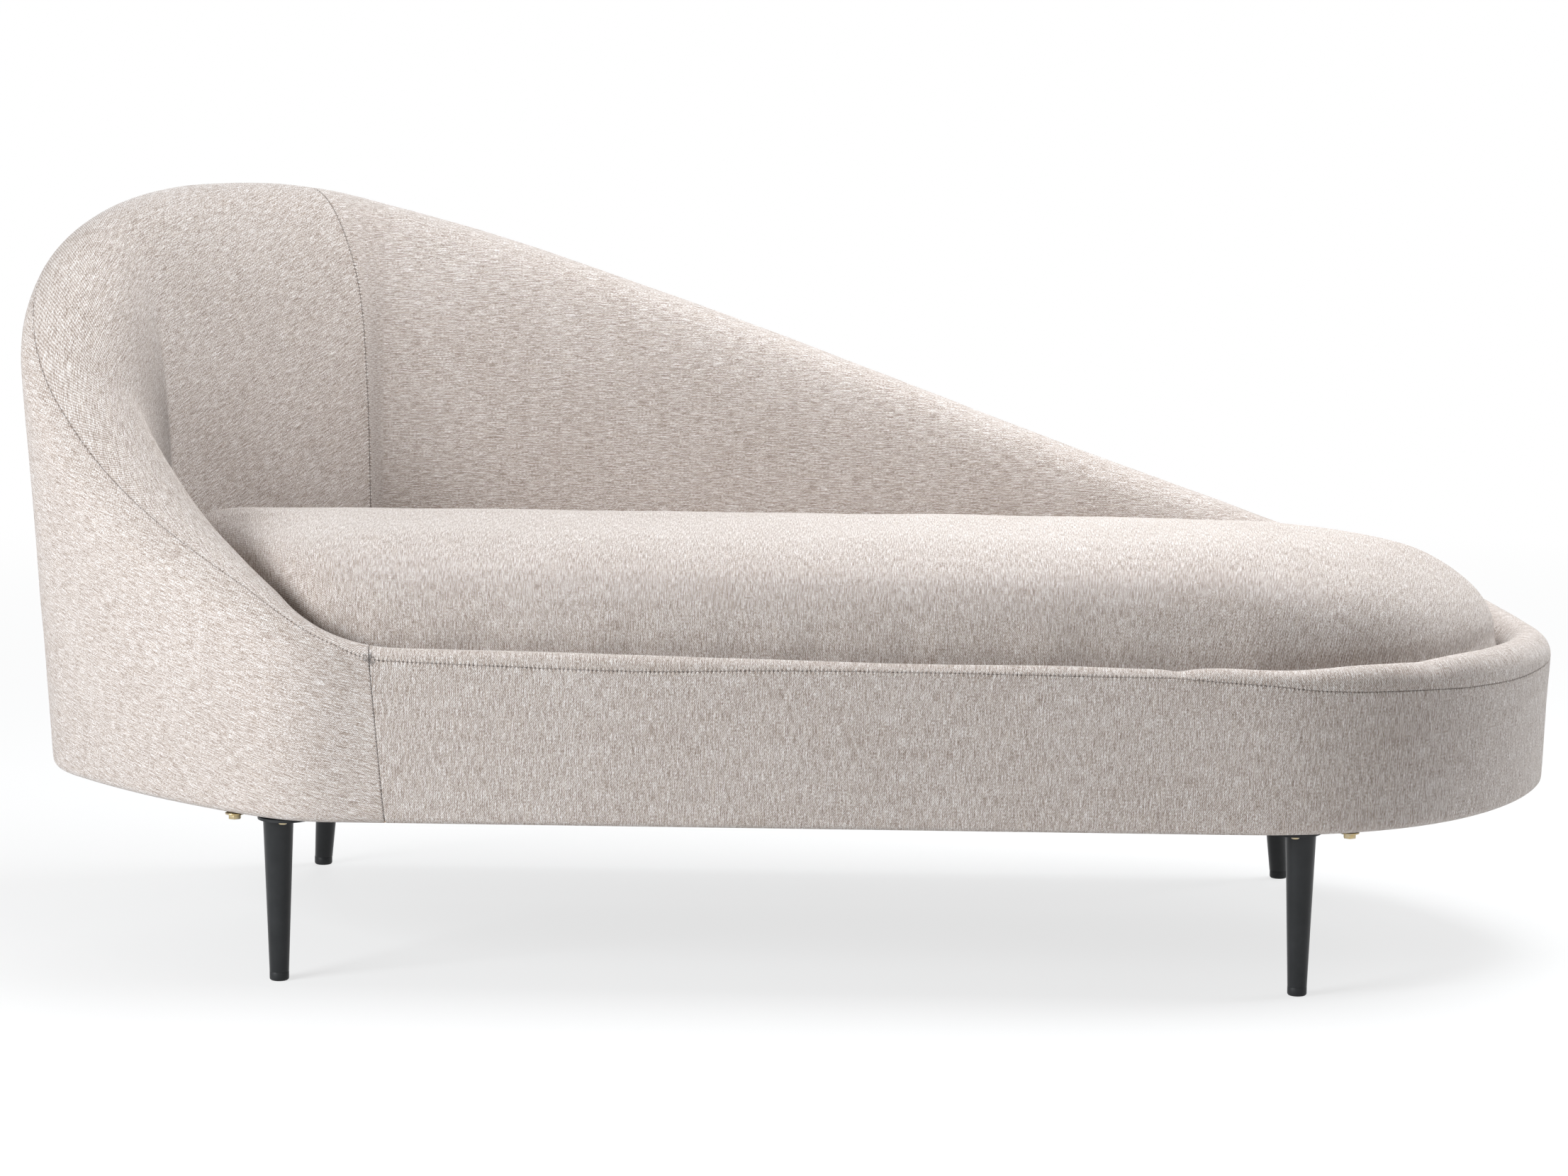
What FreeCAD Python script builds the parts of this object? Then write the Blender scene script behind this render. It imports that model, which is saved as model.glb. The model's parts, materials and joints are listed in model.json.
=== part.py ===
"""Upholstered chaise longue with one wrap-round wall and a tight seat block.

The wall runs round the whole plan. It stands high at the head end, slopes down along the back
and ends as a low rim round the foot end and the front. A flat ring of plywood formers carries
plywood and fibreboard skins, posts and a top rail. Each upholstery panel is one solid of foam
with its fabric. The seat block is a frame with webbing, a cloth and a crowned cushion. It drops
inside the wall and stands on cross rails. Four tapered legs stand under round plates.

Lengths are millimetres and angles are degrees. X runs from the head end to the foot end, Y to
the back and Z up. The pieces are drawn about the middle of the underside and are then moved so
that the origin lies on the floor under the middle of the whole object.
"""

import FreeCAD, Part
import math
import os

# Plan outline at the underside
BODY_LENGTH = 1736.0
BODY_DEPTH = 694.0
HEAD_CORNER_RADIUS = 150.0
HEAD_CORNER_TURN = 33.3
HEAD_FLANK_TURN = 18.9
HEAD_NOSE_RADIUS = 152.0
FOOT_CORNER_RADIUS = 348.0
FOOT_CORNER_TURN = 49.9
FOOT_FLANK_TURN = 25.2
FOOT_NOSE_RADIUS = 150.0
SIDE_SEAM_SPACE = 45.8

# Wall profile, given at even steps along each stretch and measured up from the underside
UNDERSIDE_HEIGHT = 188.0
RISE_AT_SIDE_SEAM = 197.0
HEAD_RISES = (211.0, 294.0, 392.0, 563.0, 658.0, 663.0, 633.0)
BACK_BEND_LENGTH = 126.0
BACK_BEND_RISE = 598.0
FOOT_RISES = (287.0, 236.0, 202.0, 182.0, 183.0, 185.0, 186.0)
RISE_AT_FRONT_MIDDLE = 189.0
ROLL_AT_SIDE_SEAM = 30.0
HEAD_ROLLS = (44.0, 94.0, 122.0, 130.0, 129.0, 123.0, 110.0)
FOOT_ROLLS = (82.0, 66.0, 56.0, 52.0, 48.0, 38.0, 27.0)
ROLL_AT_FRONT = 24.0
WALL_DRAFT = 3.8
RIM_DRAFT = 2.5
INSIDE_LEAN = 8.0
SEAT_CREASE_RISE = 242.0
RIM_CREASE_RISE = 80.0
SEAM_ANGLE = 36.0
BOTTOM_CHAMFER = 4.0

# Soft layers
FABRIC = 1.5
SOFT_GAP = 0.3
WADDING = 5.0
HEM_WIDTH = 30.0
DUST_COVER_INSET = 22.0
DUST_COVER_THICKNESS = 0.8
TUCK_RISE = 74.0

# Wall frame
FRAME_DEPTH_HIGH = 40.0
BOARD_THICKNESS = 14.0
SKIN_THICKNESS = 3.0
FORMER_WIDTH = 100.0
FORMER_THICKNESS = 18.0
TOP_RAIL_HEIGHT = 24.0
POST_WIDTH = 28.0
POST_EASE = 2.0
FIT_GAP = 0.3
HEAD_POST_COUNT = 6
HEAD_POST_END_SPACE = 132.0
BACK_POST_COUNT = 4
BACK_POST_HEAD_SPACE = 176.0
BACK_POST_FOOT_SPACE = 81.0
RIM_BLOCK_COUNT = 6
RIM_BLOCK_END_SPACE = 129.0
RIM_BLOCK_DEPTH = 60.0

# Cross rails under the seat
CROSS_RAIL_WIDTH = 40.0
CROSS_RAIL_HEIGHT = 50.0
CROSS_RAIL_COUNT = 4
CROSS_RAIL_HEAD_SPACE = 36.0
CROSS_RAIL_FOOT_SPACE = 31.0

# Seat block
SEAT_SIDE_GAP = 3.0
SEAT_RAIL_WIDTH = 40.0
SEAT_RAIL_HEIGHT = 26.0
SEAT_SLAT_WIDTH = 50.0
WEBBING_THICKNESS = 1.5
WEBBING_WIDTH = 50.0
WEBBING_COUNT = 7
WEBBING_HEAD_REACH = 14.0
WEBBING_FOOT_REACH = 39.0
LONG_WEBBING_COUNT = 3
LONG_WEBBING_FRONT_SPACE = 177.0
LONG_WEBBING_BACK_SPACE = 267.0
WEBBING_INSET = 10.0
PLATFORM_CLOTH = 1.2
SEAT_CROWN_HEIGHT = 494.0
SEAT_FRAME_INSET = 5.0
SEAT_ARCS_PER_END = 4
SEAT_SPINE_HEAD_SPACE = 36.0
SEAT_SPINE_FOOT_SPACE = 201.0
SEAT_BASE_INSET = 3.0
# Each level is a drop below the crown, an inset at the sides and an inset at the foot end
SEAT_LEVELS = ((116.0, 0.0, 4.0), (74.0, 3.0, 34.0), (44.0, 13.0, 82.0), (23.0, 32.0, 150.0),
               (8.0, 70.0, 250.0), (0.0, 125.0, 345.0))

# Legs
LEG_TOP_DIAMETER = 34.0
LEG_FOOT_DIAMETER = 21.0
GLIDE_HEIGHT = 10.0
FRONT_LEG_END_SPACE = 301.0
FRONT_LEG_SIDE_SPACE = 50.0
REAR_LEG_END_SPACE = 289.0
REAR_LEG_SIDE_SPACE = 52.0
REAR_FOOT_OUT = 15.0
REAR_FOOT_BACK = 33.0
PLATE_DIAMETER = 62.0
PLATE_THICKNESS = 3.0
PLATE_SHIFT = 8.0

# Steps along the wall
CURVE_STEP = 10.0
STRAIGHT_STEP = 130.0
ROLL_ARCS = 4
PLANE_TOLERANCE = 0.001


def vector(x, y, z):
    """Return a FreeCAD vector."""
    return FreeCAD.Vector(x, y, z)


def turned(degrees):
    """Return the unit vector at an angle in the plan."""
    return math.cos(math.radians(degrees)), math.sin(math.radians(degrees))


def flank_radius(half_depth, corner_radius, corner_turn, flank_turn, nose_radius):
    """Return the radius of the flat arc that joins the corner arc to the nose arc."""
    first = math.radians(corner_turn)
    second = math.radians(corner_turn + flank_turn)
    left = half_depth - corner_radius * (1 - math.cos(first)) - nose_radius * math.cos(second)
    return left / (math.cos(first) - math.cos(second))


def end_length(corner_radius, corner_turn, flank, flank_turn, nose_radius):
    """Return how far the curved end reaches past the straight sides."""
    first = math.sin(math.radians(corner_turn))
    second = math.sin(math.radians(corner_turn + flank_turn))
    return corner_radius * first + flank * (second - first) + nose_radius * (1 - second)


class Outline:
    """The closed plan outline at the underside, walked clockwise from the side seam."""

    def __init__(self):
        half = BODY_DEPTH / 2
        head_flank = flank_radius(half, HEAD_CORNER_RADIUS, HEAD_CORNER_TURN,
                                  HEAD_FLANK_TURN, HEAD_NOSE_RADIUS)
        foot_flank = flank_radius(half, FOOT_CORNER_RADIUS, FOOT_CORNER_TURN,
                                  FOOT_FLANK_TURN, FOOT_NOSE_RADIUS)
        head_reach = end_length(HEAD_CORNER_RADIUS, HEAD_CORNER_TURN, head_flank,
                                HEAD_FLANK_TURN, HEAD_NOSE_RADIUS)
        foot_reach = end_length(FOOT_CORNER_RADIUS, FOOT_CORNER_TURN, foot_flank,
                                FOOT_FLANK_TURN, FOOT_NOSE_RADIUS)
        self.head_x = head_reach - BODY_LENGTH / 2
        self.foot_x = BODY_LENGTH / 2 - foot_reach
        self.seam_x = self.head_x + SIDE_SEAM_SPACE
        head = self.end_arcs(HEAD_CORNER_RADIUS, HEAD_CORNER_TURN, head_flank,
                             HEAD_FLANK_TURN, HEAD_NOSE_RADIUS)
        foot = self.end_arcs(FOOT_CORNER_RADIUS, FOOT_CORNER_TURN, foot_flank,
                             FOOT_FLANK_TURN, FOOT_NOSE_RADIUS)
        moves = [(None, SIDE_SEAM_SPACE)] + head
        moves += [(None, self.foot_x - self.head_x)] + foot
        moves += [(None, self.foot_x - self.seam_x)]
        self.pieces = []
        place = (self.seam_x, -half)
        heading = -90.0
        distance = 0.0
        for radius, amount in moves:
            length = amount if radius is None else radius * math.radians(amount)
            self.pieces.append((distance, place, heading, radius, length))
            place, heading = self.travel(place, heading, radius, length)
            distance += length
        self.length = distance
        self.head_start = self.pieces[1][0]
        self.head_nose = self.pieces[4][0]
        self.back_start = self.pieces[7][0]
        self.foot_start = self.pieces[8][0]
        self.foot_nose = self.pieces[11][0]
        self.front_start = self.pieces[14][0]

    @staticmethod
    def end_arcs(corner_radius, corner_turn, flank, flank_turn, nose_radius):
        """Return the six arcs of one end as pairs of radius and turn."""
        nose_turn = 90.0 - corner_turn - flank_turn
        half = [(corner_radius, corner_turn), (flank, flank_turn), (nose_radius, nose_turn)]
        return half + half[::-1]

    @staticmethod
    def travel(place, heading, radius, length):
        """Return the place and outward heading after a length along one piece."""
        out_x, out_y = turned(heading)
        if radius is None:
            return (place[0] + out_y * length, place[1] - out_x * length), heading
        centre = (place[0] - radius * out_x, place[1] - radius * out_y)
        heading -= math.degrees(length / radius)
        out_x, out_y = turned(heading)
        return (centre[0] + radius * out_x, centre[1] + radius * out_y), heading

    def at(self, distance, inset=0.0):
        """Return the plan point and the outward unit vector at a distance along the outline."""
        distance = min(max(distance, 0.0), self.length)
        begin = [row[0] for row in self.pieces if row[0] <= distance + 1e-9][-1]
        return self.at_piece(begin, distance, inset)

    def at_piece(self, begin, distance, inset):
        """Return a point as at() does, on the piece that begins at the given distance."""
        _, place, heading, radius, _ = [row for row in self.pieces if row[0] == begin][0]
        place, heading = self.travel(place, heading, radius, distance - begin)
        out = turned(heading)
        return (place[0] - inset * out[0], place[1] - inset * out[1]), out

    def on_front(self, x):
        """Return the distance along the outline of a place on the straight front."""
        return self.length - (x - self.seam_x)

    def on_back(self, x):
        """Return the distance along the outline of a place on the straight back."""
        return self.back_start + x - self.head_x

    def edges(self, start, end, inset, height):
        """Return the lines and arcs of a stretch of the outline, moved in by an inset."""
        made = []
        for begin, _, _, radius, length in self.pieces:
            first = max(start, begin)
            last = min(end, begin + length)
            if last - first < 1e-6:
                continue
            points = []
            for distance in (first, (first + last) / 2, last):
                (x, y), _ = self.at_piece(begin, distance, inset)
                points.append(vector(x, y, height))
            if radius is None:
                made.append(Part.LineSegment(points[0], points[2]).toShape())
            else:
                made.append(Part.Arc(*points).toShape())
        return made

    def stops(self, start, end):
        """Return distances whose steps suit how sharply the outline turns."""
        made = [start]
        for begin, _, _, radius, length in self.pieces:
            first = max(start, begin)
            last = min(end, begin + length)
            if last - first < 1e-6:
                continue
            count = math.ceil((last - first) / STRAIGHT_STEP)
            if radius is not None:
                turn = math.degrees((last - first) / radius)
                count = max(count, math.ceil(turn / CURVE_STEP))
            made += [first + (last - first) * (index + 1) / count for index in range(count)]
        return made


OUTLINE = Outline()


def spread(start, end, count):
    """Return distances at even steps from start to end."""
    return [start + (end - start) * index / (count - 1) for index in range(count)]


def middles(places):
    """Return the places half way between each two."""
    return [(places[index] + places[index + 1]) / 2 for index in range(len(places) - 1)]


def even(start, end, values):
    """Pair values with places at even steps from start to end."""
    step = (end - start) / (len(values) - 1)
    return [(start + step * index, value) for index, value in enumerate(values)]


def smooth(knots, distance):
    """Return the value of a smooth curve through knots that never overshoots them."""
    places = [row[0] for row in knots]
    values = [row[1] for row in knots]
    last = len(knots) - 1
    if distance <= places[0]:
        return values[0]
    if distance >= places[last]:
        return values[last]
    steps = [places[i + 1] - places[i] for i in range(last)]
    slopes = [(values[i + 1] - values[i]) / steps[i] for i in range(last)]
    tangents = [slopes[0]]
    for i in range(1, last):
        if slopes[i - 1] * slopes[i] <= 0:
            tangents.append(0.0)
            continue
        first = 2 * steps[i] + steps[i - 1]
        second = steps[i] + 2 * steps[i - 1]
        tangents.append((first + second) / (first / slopes[i - 1] + second / slopes[i]))
    tangents.append(slopes[-1])
    i = max(k for k in range(last) if places[k] <= distance)
    part = (distance - places[i]) / steps[i]
    return ((2 * part**3 - 3 * part**2 + 1) * values[i]
            + (part**3 - 2 * part**2 + part) * steps[i] * tangents[i]
            + (3 * part**2 - 2 * part**3) * values[i + 1]
            + (part**3 - part**2) * steps[i] * tangents[i + 1])


def along_wall(at_seam, head, bend, foot, front):
    """Join the values of each stretch into knots for the whole wall."""
    knots = [(0.0, at_seam)] + even(OUTLINE.head_start, OUTLINE.back_start, head)
    knots += bend
    knots += even(OUTLINE.foot_start, OUTLINE.front_start, foot)
    return knots + [((OUTLINE.front_start + OUTLINE.length) / 2, front),
                    (OUTLINE.length, at_seam)]


RISE = along_wall(RISE_AT_SIDE_SEAM, HEAD_RISES,
                  [(OUTLINE.back_start + BACK_BEND_LENGTH, BACK_BEND_RISE)],
                  FOOT_RISES, RISE_AT_FRONT_MIDDLE)
ROLL = along_wall(ROLL_AT_SIDE_SEAM, HEAD_ROLLS, [], FOOT_ROLLS, ROLL_AT_FRONT)
HEAD_STEP = (OUTLINE.back_start - OUTLINE.head_start) / (len(HEAD_RISES) - 1)
FOOT_STEP = (OUTLINE.front_start - OUTLINE.foot_start) / (len(FOOT_RISES) - 1)
DRAFT = [(0.0, RIM_DRAFT), (OUTLINE.head_start, WALL_DRAFT),
         (OUTLINE.foot_start - FOOT_STEP, WALL_DRAFT), (OUTLINE.foot_start, RIM_DRAFT)]
LEAN = [(OUTLINE.head_start, RIM_DRAFT), (OUTLINE.head_start + HEAD_STEP, INSIDE_LEAN),
        (OUTLINE.foot_start, INSIDE_LEAN), (OUTLINE.foot_start + FOOT_STEP, RIM_DRAFT)]
CREASE = [(0.0, RIM_CREASE_RISE), (OUTLINE.head_start, RIM_CREASE_RISE + HEM_WIDTH),
          (OUTLINE.head_start + HEAD_STEP, SEAT_CREASE_RISE),
          (OUTLINE.back_start, SEAT_CREASE_RISE),
          (OUTLINE.foot_start - FOOT_STEP, SEAT_CREASE_RISE),
          (OUTLINE.foot_start + FOOT_STEP, RIM_CREASE_RISE),
          (OUTLINE.length, RIM_CREASE_RISE)]


class WallSection:
    """The upright section of the wall at one distance along the outline."""

    def __init__(self, distance, frame_depth):
        (self.x, self.y), (self.out_x, self.out_y) = OUTLINE.at(distance)
        self.rise = smooth(RISE, distance)
        self.radius = smooth(ROLL, distance) / 2
        self.draft = math.radians(smooth(DRAFT, distance))
        self.lean = math.radians(smooth(LEAN, distance))
        self.crease = smooth(CREASE, distance)
        self.frame_depth = frame_depth
        self.centre_rise = self.rise - self.radius
        self.centre_out = ((self.centre_rise * math.sin(self.draft) - self.radius)
                           / math.cos(self.draft))

    def point(self, out, rise):
        """Return the space point at a distance outwards and a rise above the underside."""
        return vector(self.x + out * self.out_x, self.y + out * self.out_y,
                      UNDERSIDE_HEIGHT + rise)

    def outside(self, rise, inset):
        """Return how far out the outer face stands at a rise, moved in by an inset."""
        return (rise * math.sin(self.draft) - inset) / math.cos(self.draft)

    def inside(self, rise, inset):
        """Return how far out the inner face stands at a rise, moved into the wall by an inset."""
        rise = max(rise, self.crease)
        reach = self.radius - inset
        drop = self.centre_rise + reach * math.sin(self.lean) - rise
        return self.centre_out - reach * math.cos(self.lean) - drop * math.tan(self.lean)

    def on_roll(self, angle, inset):
        """Return the point of the roll at an angle in radians, moved in by an inset."""
        reach = self.radius - inset
        return (self.centre_out + reach * math.cos(angle),
                self.centre_rise + reach * math.sin(angle))

    def frame_top(self):
        """Return the rise of the top of the wall frame, just under the middle of the roll."""
        return self.centre_rise - FIT_GAP

    def wire(self, start, moves):
        """Return a closed wire of lines, and of arcs where a move has a middle point."""
        here = self.point(*start)
        edges = []
        for move in moves + [start]:
            if isinstance(move[0], tuple):
                middle = self.point(*move[0])
                end = self.point(*move[1])
                edges.append(Part.Arc(here, middle, end).toShape())
            else:
                end = self.point(*move)
                edges.append(Part.LineSegment(here, end).toShape())
            here = end
        return Part.Wire(edges)


def outer_panel_wire(section):
    """Return the thin outer panel, from its hem underneath up to the seam on the roll."""
    depth = WADDING - SOFT_GAP
    low = -section.draft
    seam = math.radians(SEAM_ANGLE)
    edge_out = section.outside(0.0, BOTTOM_CHAMFER)
    hem_out = section.outside(0.0, BOTTOM_CHAMFER + HEM_WIDTH)
    return section.wire((hem_out, 0.0), [
        (edge_out, 0.0),
        (section.outside(BOTTOM_CHAMFER, 0), BOTTOM_CHAMFER),
        section.on_roll(low, 0),
        (section.on_roll((low + seam) / 2, 0), section.on_roll(seam, 0)),
        section.on_roll(seam, depth),
        section.on_roll(low, depth),
        (section.outside(FABRIC, depth), FABRIC),
        (hem_out, FABRIC),
    ])


def inner_panel_wire(section):
    """Return the foam roll and inner face, from the seam over the top and down to the tuck."""
    seam = math.radians(SEAM_ANGLE) + SOFT_GAP / section.radius
    high = math.pi - section.lean
    frame = WADDING + section.frame_depth + SOFT_GAP
    frame_top = section.centre_rise
    stops = spread(seam, high, 2 * ROLL_ARCS + 1)
    moves = [(section.on_roll(stops[i + 1], 0), section.on_roll(stops[i + 2], 0))
             for i in range(0, 2 * ROLL_ARCS, 2)]
    return section.wire(section.on_roll(seam, 0), moves + [
        (section.inside(section.crease, 0), section.crease),
        (section.inside(section.crease, 0), TUCK_RISE),
        (section.outside(TUCK_RISE, frame), TUCK_RISE),
        (section.outside(frame_top, frame), frame_top),
        section.on_roll(0, WADDING),
        section.on_roll(seam, WADDING),
    ])


def panel_wire(section, near, far, bottom, top):
    """Return a four-sided section between two insets from the outer face."""
    return section.wire((section.outside(bottom, near), bottom), [
        (section.outside(top, near), top),
        (section.outside(top, far), top),
        (section.outside(bottom, far), bottom),
    ])


def high_frame_depth(distance):
    """Return how deep the wall frame is, which is thin at the side seam."""
    knots = [(OUTLINE.head_start, BOARD_THICKNESS),
             (OUTLINE.head_start + HEAD_STEP, FRAME_DEPTH_HIGH)]
    return smooth(knots, distance)


def stations(start, end, depth=None):
    """Return the wall sections of a stretch of the outline."""
    made = []
    for distance in OUTLINE.stops(start, end):
        frame_depth = BOARD_THICKNESS if depth is None else depth(distance)
        made.append(WallSection(distance, frame_depth))
    return made


def head_stations():
    """Return the sections of the high head end, from the side seam to the straight back."""
    return stations(0.0, OUTLINE.back_start, high_frame_depth)


def back_stations():
    """Return the sections of the straight sloping back."""
    return stations(OUTLINE.back_start, OUTLINE.foot_start, high_frame_depth)


def foot_stations():
    """Return the sections of the low rim round the foot end."""
    return stations(OUTLINE.foot_start, OUTLINE.front_start)


def front_stations():
    """Return the sections of the low straight front."""
    return stations(OUTLINE.front_start, OUTLINE.length)


def loft(wires):
    """Return the solid through a row of closed wires, with its flat patches as true planes."""
    faces = []
    for face in Part.makeLoft(wires, True, True).Faces:
        plane = face.findPlane(PLANE_TOLERANCE)
        faces.append(face if plane is None else Part.Face(plane, face.OuterWire))
    shell = Part.makeShell(faces)
    shell.sewShape()
    return Part.Solid(shell)


def sheet(wire, bottom, thickness):
    """Return a flat sheet of the given thickness above a height."""
    face = Part.Face(wire)
    face.translate(vector(0, 0, bottom - wire.BoundBox.ZMin))
    return face.extrude(vector(0, 0, thickness))


def plan_ring_part(start, end, near, far, bottom, thickness):
    """Return a flat curved board between two insets from the outline."""
    outer = OUTLINE.edges(start, end, near, 0.0)
    inner = OUTLINE.edges(start, end, far, 0.0)
    corners = [OUTLINE.at(start, near)[0], OUTLINE.at(start, far)[0],
               OUTLINE.at(end, near)[0], OUTLINE.at(end, far)[0]]
    points = [vector(x, y, 0.0) for x, y in corners]
    edges = outer + [Part.LineSegment(points[2], points[3]).toShape()]
    edges += inner + [Part.LineSegment(points[0], points[1]).toShape()]
    wire = Part.Wire(Part.__sortEdges__(edges))
    return sheet(wire, bottom, thickness)


def box(low, high):
    """Return a box between two corners."""
    size = [high[i] - low[i] for i in range(3)]
    return Part.makeBox(size[0], size[1], size[2], vector(*low))


CROSS_RAIL_PLACES = spread(OUTLINE.head_x + CROSS_RAIL_HEAD_SPACE,
                           OUTLINE.foot_x - CROSS_RAIL_FOOT_SPACE, CROSS_RAIL_COUNT)
FORMER_BOTTOM = UNDERSIDE_HEIGHT + FABRIC + SOFT_GAP
FORMER_TOP = FORMER_BOTTOM + FORMER_THICKNESS
FORMER_RISE = FORMER_TOP - UNDERSIDE_HEIGHT
RAIL_TOP = FORMER_TOP + CROSS_RAIL_HEIGHT
SEAT_FRAME_TOP = RAIL_TOP + SEAT_RAIL_HEIGHT
WEBBING_TOP = SEAT_FRAME_TOP + 2 * WEBBING_THICKNESS
CUSHION_BOTTOM = WEBBING_TOP + PLATFORM_CLOTH
DUST_COVER_BOTTOM = UNDERSIDE_HEIGHT - DUST_COVER_THICKNESS
PLATE_BOTTOM = DUST_COVER_BOTTOM - PLATE_THICKNESS


class Leg:
    """One tapered leg with its glide and plate."""

    def __init__(self, top_x, top_y, foot_x, foot_y):
        self.foot = vector(foot_x, foot_y, 0.0)
        self.plate_x = top_x + (-PLATE_SHIFT if top_x > 0 else PLATE_SHIFT)
        self.plate_y = top_y
        self.axis = vector(top_x, top_y, PLATE_BOTTOM).sub(self.foot)
        self.axis.normalize()

    def on_axis(self, height):
        """Return the point of the leg's axis at a height."""
        return self.foot + self.axis * (height / self.axis.z)

    def radius(self, height):
        """Return the leg's radius at a height above the floor."""
        part = height / PLATE_BOTTOM
        return (LEG_FOOT_DIAMETER + (LEG_TOP_DIAMETER - LEG_FOOT_DIAMETER) * part) / 2

    def length_of(self, low, high):
        """Return the tapered round between two level cuts."""
        start = self.on_axis(low - LEG_TOP_DIAMETER)
        end = self.on_axis(high + LEG_TOP_DIAMETER)
        round_bar = Part.makeCone(self.radius(low - LEG_TOP_DIAMETER),
                                  self.radius(high + LEG_TOP_DIAMETER),
                                  end.sub(start).Length, start, self.axis)
        reach = 2 * PLATE_DIAMETER
        slab = box((start.x - reach, start.y - reach, low), (end.x + reach, end.y + reach, high))
        return round_bar.common(slab)

    def shaft(self):
        """Return the leg itself."""
        return self.length_of(GLIDE_HEIGHT, PLATE_BOTTOM)

    def glide(self):
        """Return the flat-footed cap under the leg."""
        middle = self.on_axis(GLIDE_HEIGHT / 2)
        return Part.makeCylinder(self.radius(GLIDE_HEIGHT / 2), GLIDE_HEIGHT,
                                 vector(middle.x, middle.y, 0.0))

    def plate(self):
        """Return the round steel plate over the leg."""
        return Part.makeCylinder(PLATE_DIAMETER / 2, PLATE_THICKNESS,
                                 vector(self.plate_x, self.plate_y, PLATE_BOTTOM))


FRONT_LEG_X = BODY_LENGTH / 2 - FRONT_LEG_END_SPACE
FRONT_LEG_Y = FRONT_LEG_SIDE_SPACE - BODY_DEPTH / 2
REAR_LEG_X = BODY_LENGTH / 2 - REAR_LEG_END_SPACE
REAR_LEG_Y = BODY_DEPTH / 2 - REAR_LEG_SIDE_SPACE
FRONT_LEGS = [Leg(side * FRONT_LEG_X, FRONT_LEG_Y, side * FRONT_LEG_X, FRONT_LEG_Y)
              for side in (-1, 1)]
REAR_LEGS = [Leg(side * REAR_LEG_X, REAR_LEG_Y, side * (REAR_LEG_X + REAR_FOOT_OUT),
                 REAR_LEG_Y + REAR_FOOT_BACK)
             for side in (-1, 1)]


class SeatPlan:
    """The plan of the seat block, which follows the inner faces of the wall."""

    def __init__(self):
        self.head = self.end_points(0.0, OUTLINE.back_start, high_frame_depth)
        self.foot = self.end_points(OUTLINE.foot_start, OUTLINE.front_start, None)
        middle = (self.head[0][1] + self.head[-1][1] + self.foot[0][1] + self.foot[-1][1]) / 4
        self.spine = (OUTLINE.head_x + SEAT_SPINE_HEAD_SPACE,
                      OUTLINE.foot_x - SEAT_SPINE_FOOT_SPACE, middle)

    @staticmethod
    def end_points(start, end, depth):
        """Return the points of one end, each a side gap inside the wall."""
        points = []
        for distance in spread(start, end, 2 * SEAT_ARCS_PER_END + 1):
            section = WallSection(distance, BOARD_THICKNESS if depth is None else depth(distance))
            out = section.inside(section.crease, 0) - SEAT_SIDE_GAP
            points.append((section.x + out * section.out_x, section.y + out * section.out_y))
        return points

    def moved(self, point, inset, foot_inset, height):
        """Return a point of the plan moved towards the spine by its share of the insets."""
        low_x, high_x, middle_y = self.spine
        near_x = min(max(point[0], low_x), high_x)
        past = max(point[0] - high_x, 0.0) / (max(row[0] for row in self.foot) - high_x)
        amount = inset + (foot_inset - inset) * past**2
        to_x = near_x - point[0]
        to_y = middle_y - point[1]
        share = amount / math.hypot(to_x, to_y)
        return vector(point[0] + to_x * share, point[1] + to_y * share, height)

    def wire(self, inset, foot_inset, height):
        """Return the closed outline of lines and arcs at one height."""
        head = [self.moved(point, inset, foot_inset, height) for point in self.head]
        foot = [self.moved(point, inset, foot_inset, height) for point in self.foot]
        return Part.Wire(self.arcs(head) + [Part.LineSegment(head[-1], foot[0]).toShape()]
                         + self.arcs(foot) + [Part.LineSegment(foot[-1], head[0]).toShape()])

    @staticmethod
    def arcs(points):
        """Return the arcs through each three points in turn."""
        return [Part.Arc(points[i], points[i + 1], points[i + 2]).toShape()
                for i in range(0, len(points) - 2, 2)]

    def prism(self, inset, bottom, top):
        """Return the solid of the plan moved in by an inset, between two heights."""
        face = Part.Face(self.wire(inset, inset, bottom))
        return face.extrude(vector(0, 0, top - bottom))

    def rail(self, places, near, far, bottom, top):
        """Return one part of the seat frame between two insets."""
        outer = [self.moved(point, near, near, bottom) for point in places]
        inner = [self.moved(point, far, far, bottom) for point in places]
        if len(places) == 2:
            edges = [Part.LineSegment(*outer).toShape(), Part.LineSegment(*inner).toShape()]
        else:
            edges = self.arcs(outer) + self.arcs(inner)
        edges.append(Part.LineSegment(outer[0], inner[0]).toShape())
        edges.append(Part.LineSegment(outer[-1], inner[-1]).toShape())
        face = Part.Face(Part.Wire(Part.__sortEdges__(edges)))
        return face.extrude(vector(0, 0, top - bottom))


SEAT = SeatPlan()


def cushion():
    """Return the crowned seat cushion, lofted upwards through its levels."""
    wires = [SEAT.wire(SEAT_BASE_INSET, SEAT_BASE_INSET, CUSHION_BOTTOM)]
    for drop, side_inset, foot_inset in SEAT_LEVELS:
        wires.append(SEAT.wire(side_inset, foot_inset, SEAT_CROWN_HEIGHT - drop))
    return loft(wires)


def strips(places, width, along_x, inset, bottom, top):
    """Return straight strips across the seat, cut to its plan."""
    plan = SEAT.prism(inset, bottom, top)
    made = []
    for place in places:
        low = (-BODY_LENGTH, place - width / 2, bottom)
        high = (BODY_LENGTH, place + width / 2, top)
        if not along_x:
            low = (place - width / 2, -BODY_LENGTH, bottom)
            high = (place + width / 2, BODY_LENGTH, top)
        made += box(low, high).common(plan).Solids
    return made


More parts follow.
